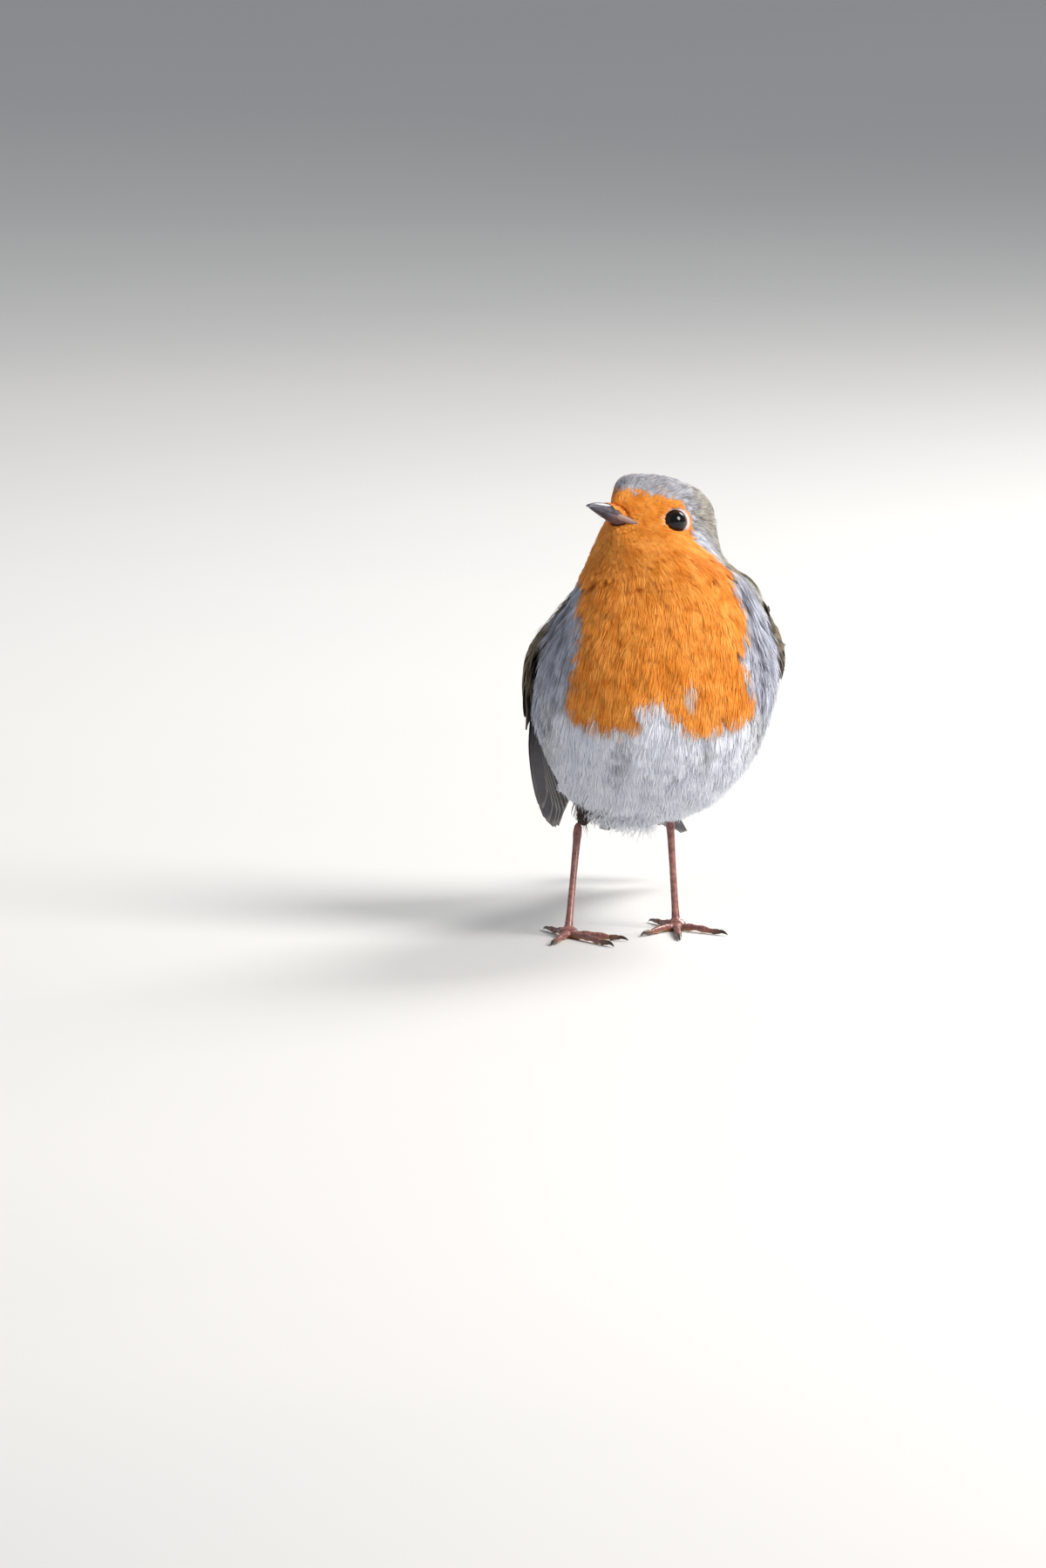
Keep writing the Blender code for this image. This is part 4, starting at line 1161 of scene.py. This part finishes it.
horn = Finish("bill_horn", 0.30, Specular_IOR_Level=0.5)
share = horn.attribute("share")
near_mouth = horn.attribute("near_mouth")
low = horn.attribute("low")
grain = horn.noise(900.0, 4.0)
dark_horn = horn.mix(grain.held(0.3, 0.7), tint("30303a"), tint("504f5b"))
gape = (1 - share).held(0.35, 0.95) * (0.25 + 0.55 * near_mouth + 0.5 * low)
bill_colour = horn.mix(gape, dark_horn, tint("8c6258"))
# the nostril slits are painted near black: painted shade inside the openings
horn.feed("Base Color", horn.mix(horn.attribute("hollow").held(0.35, 0.8), bill_colour, tint("0c0a0a")))
horn.feed("Roughness", 0.26 + 0.14 * grain)
horn.bump(horn.noise(2500.0, 3.0), 0.00003, 0.4)
bill_halves = {half: bill_half(half) for half in ("upper", "lower")}
for half, piece in bill_halves.items():
    piece.data.uv_layers[0].name = "OFBake"
    root_ground = ground(piece, lie, sort=True)
    ahead, _, above = from_head(root_ground["middles"]).T
    cover = (ahead > 7.5) & ((ahead < 13.2 + 2.2 * above) if half == "upper" else (ahead < 8.6))
    coat(f"{half}_bill_feathers", "orange_plumage", cover, 0.38, 1.5, 0.8, 9, 0.085, soil=root_ground,
         depth_of=even(0.2), bare=0.02, girth=3.0)


def tube(path, radii, sides):
    """Corners and faces of a closed round bar along a path, in millimetres."""
    way = unit(np.gradient(path, axis=0))
    side = unit(np.cross(way, unit(np.array((0.31, 0.17, 0.93)))))
    other = np.cross(way, side)
    turn = 2 * math.pi * np.arange(sides) / sides
    rings = path[:, None] + radii[:, None, None] * (
        side[:, None] * np.cos(turn)[None, :, None] + other[:, None] * np.sin(turn)[None, :, None])
    spots = np.concatenate([rings.reshape(-1, 3), path[:1], path[-1:]])
    k = np.arange(sides)
    after = (k + 1) % sides
    last = sides * (len(path) - 1)
    walls = np.concatenate([np.stack([r + k, r + after, r + sides + after, r + sides + k], axis=1)
                            for r in range(0, last, sides)])
    ends = np.concatenate([np.stack([after, k, np.full(sides, len(spots) - 2)], axis=1),
                           np.stack([last + k, last + after, np.full(sides, len(spots) - 1)], axis=1)])
    return spots, [walls, ends]


gape_finish = Finish("gape", 0.45, Specular_IOR_Level=0.4)
gape_finish.feed("Base Color", gape_finish.mix(gape_finish.noise(1200.0), tint("77605f"), tint("97796d")))
for side, sign in SIDES:
    t = np.linspace(0, 1, 16)
    run = HEAD + np.stack([13.0 - 5.8 * t, sign * (1.65 + 3.6 * t**1.1), -1.9 - 0.9 * t], axis=1) @ HEAD_AXES
    found = [skin_ground["tree"].find_nearest(Vector(spot)) for spot in run]
    on_face = np.array([np.array(hit[0]) + 0.10 * np.array(hit[1]) for hit in found])
    held_to = smoothstep(0.45, 0.75, t)[:, None]
    run = run * (1 - held_to) + on_face * held_to
    spots, faces = tube(run, np.interp(t, (0, 0.25, 0.6, 1), (0.55, 0.85, 0.66, 0.12)), 16)
    looks = unit(LEFT * sign + FORWARD * 0.3)
    centres = np.concatenate([np.repeat(run, 16, axis=0), run[:1], run[-1:]])
    spots = spots - 0.45 * ((spots - centres) @ looks)[:, None] * looks
    finished(meshed(f"{side}_gape", spots, faces), gape_finish, "bill_horn")

bristle_finish = Finish("bristle", 0.5)
bristle_colour = bristle_finish.mix(bristle_finish.noise(2000.0), tint("15110f"), tint("2a221d"))
bristle_finish.feed("Base Color", bristle_colour)
bristles = []
for sign in (1, -1):
    for k in range(6):
        start = at_head(8.6 - 0.55 * k, sign * (2.2 + 0.45 * k), -1.2 - 0.35 * k)
        swing = np.array((1.0 - 0.10 * k, sign * (0.42 + 0.10 * k), -0.30 - 0.06 * k)) @ HEAD_AXES
        long = 4.6 - 0.35 * k + rng.normal(0, 0.3)
        t = np.linspace(0, 1, 8)[:, None]
        path = start + unit(swing) * long * t - UP * 0.9 * t**2
        bristles.append(meshed("rictal_bristles", *tube(path, 0.055 * (1 - 0.85 * t[:, 0]), 5)))
finished(joined(bristles, "rictal_bristles"), bristle_finish, "bill_horn")

# ---------------------------------------------------------------- legs and feet
# Thin tarsi in smooth pinkish-brown scales, knuckled toes with a plate over each joint and ochre pads below,
# flat where they stand on the floor. Each leg is one skin, and curved claws of dark horn are set in its toes.

TOES = ("inner", "middle", "outer", "hind")
TARSUS_GIRTH = ((0, 0.03, 0.10, 0.18, 0.5, 0.85, 1), (0.5, 0.95, 1.12, 0.94, 0.82, 0.88, 1.10))
TOE_GIRTH = 0.80
HUB_SIZE = (0.0024, 0.0024, 0.0014)  # metres; the knuckle that the toes spread from
SCUTE_LENGTH = 1.25
GROOVE_DEPTH = 0.07
leg_finish = Finish("leg_scales", 0.36, Specular_IOR_Level=0.5)
skin_grain = leg_finish.noise(700.0, 4.0)
leg_colour = leg_finish.mix(skin_grain.held(0.3, 0.7), tint("7c4f4b"), tint("9a6a62"))
leg_colour = leg_finish.mix(leg_finish.attribute("groove") * 0.75, leg_colour, tint("3c2422"))
leg_colour = leg_finish.mix(leg_finish.attribute("pad"), leg_colour, tint("b57a3e"))
leg_finish.feed("Base Color", leg_colour)
leg_finish.feed("Roughness", 0.20 + 0.16 * skin_grain)
leg_finish.bump(leg_finish.noise(3500.0, 3.0), 0.00004, 0.5)
claw_finish = Finish("claw_horn", 0.28, Specular_IOR_Level=0.5)
claw_grain = claw_finish.noise(1200.0, 3.0)
claw_colour = claw_finish.mix(claw_finish.attribute("share").held(0.0, 0.8), tint("6b4a38"), tint("2c2019"))
claw_finish.feed("Base Color", claw_colour)
claw_finish.feed("Roughness", 0.24 + 0.14 * claw_grain)

for side, _ in SIDES:
    # the shank and the knuckle; bars are the middle lines that the scales are measured from
    hub = middle_of(f"foot_{side}")
    shank = points_of(f"tarsus_{side}")
    top = shank[shank[:, 2] > shank[:, 2].max() - 0.6].mean(0)
    top = top + unit(top - hub) * 1.2
    t = np.linspace(0, 1, 30)
    path = top + (hub + (0, 0, 0.3) - top) * t[:, None]
    pieces = [meshed("shank", *tube(path, np.interp(t, *TARSUS_GIRTH), 20))]
    bars = [(top, unit(hub - top), np.linalg.norm(hub - top), True)]
    pieces.append(primitive(bpy.ops.mesh.primitive_uv_sphere_add, "hub", segments=32, ring_count=20, radius=1,
                            location=hub * MM, scale=HUB_SIZE))
    for toe in TOES:
        bar = points_of(f"toe_{toe}_{side}")
        way = unit((bar.mean(0) - hub) * (1, 1, 0))
        long = ((bar - hub) @ way).max()
        t = np.linspace(0, 1, 26)
        girth = TOE_GIRTH + 0.10 * np.cos(2 * math.pi * t * (long / 4.4)) * smoothstep(0.1, 0.3, t)
        lift = 0.35 * np.sin(math.pi * t) ** 2
        path = hub * (1, 1, 0) + way * (long * t)[:, None] + (0, 0, 1) * (0.78 + lift)[:, None]
        pieces.append(meshed("toe", *tube(path, girth * np.interp(t, (0, 0.85, 1), (1.1, 0.92, 0.72)), 16)))
        bars.append((hub * (1, 1, 0) + (0, 0, 0.8), way, long, False))
        # the claw follows the curve of its solid, with its root sunk in the toe
        claw = points_of(f"claw_{toe}_{side}")
        reach = (claw - hub) @ way
        claw, reach = claw[np.argsort(reach)], np.sort(reach)
        stops = np.linspace(reach[0], reach[-1], 7)
        knots = np.array([claw[np.argsort(np.abs(reach - stop))[:40]].mean(0) for stop in stops])
        knots[-1] = claw[-1]
        t = np.linspace(0, 1, 22)
        fine = np.stack([np.interp(t, np.linspace(0, 1, 7), line) for line in knots.T], axis=1)
        padded = np.pad(fine, ((2, 2), (0, 0)), mode="edge")
        smooth = np.stack([np.convolve(line, np.ones(5) / 5, "valid") for line in padded.T], axis=1)
        smooth[:3], smooth[-1] = fine[:3] - way * np.array((0.9, 0.5, 0.2))[:, None], fine[-1]
        spots, faces = tube(smooth, 0.62 * (1 - t) ** 0.65 + 0.05, 14)
        spots[:, 2] = np.maximum(spots[:, 2], 0.0)
        numbers = {"share": np.append(np.repeat(t, 14), (0.0, 1.0))}
        talon = meshed(f"{toe}_{side}_claw", spots, faces, None, numbers)
        finished(talon, claw_finish, "claw_horn", f"claw_{toe}_{side}")
    # one skin over them all, with grooves between the scales and flat pads
    leg = joined(pieces, f"{side}_leg")
    remeshed(leg, 0.00022, 4)
    bpy.ops.object.shade_smooth()
    spots, outs = corners_of(leg), normals_of(leg)
    nearest = np.full(len(spots), 1e9)
    groove = np.zeros(len(spots))
    for start, way, long, on_tarsus in bars:
        rel = spots - start
        reach = (rel @ way).clip(0, long)
        from_bar = gap(rel, reach[:, None] * way)
        scute = SCUTE_LENGTH * (1.6 if on_tarsus else 1.0)
        line = np.exp(-(((reach / scute) % 1.0 - 0.5) / 0.11) ** 2)
        line = line * smoothstep(-0.3, 0.5, -outs[:, 1] if on_tarsus else outs[:, 2])
        groove = np.where(from_bar < nearest, line * (0.22 if on_tarsus else 1.0), groove)
        nearest = np.minimum(nearest, from_bar)
    spots = spots - outs * (GROOVE_DEPTH * groove)[:, None]
    pad = smoothstep(0.25, 0.75, -outs[:, 2]) * (1 - smoothstep(0.6, 1.2, spots[:, 2]))
    spots[:, 2] = np.maximum(spots[:, 2], 0.0)
    reshape_to(leg, spots)
    note(leg, groove=groove, pad=pad)
    solids = [f"tarsus_{side}", f"foot_{side}"] + [f"toe_{toe}_{side}" for toe in TOES]
    finished(leg, leg_finish, "leg_scales", *solids)

# ---------------------------------------------------------------- the room the figure takes
seen_low, seen_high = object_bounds()
sizes = {"cad": [list(cad_low), list(cad_high)], "looks": [list(seen_low), list(seen_high)]}
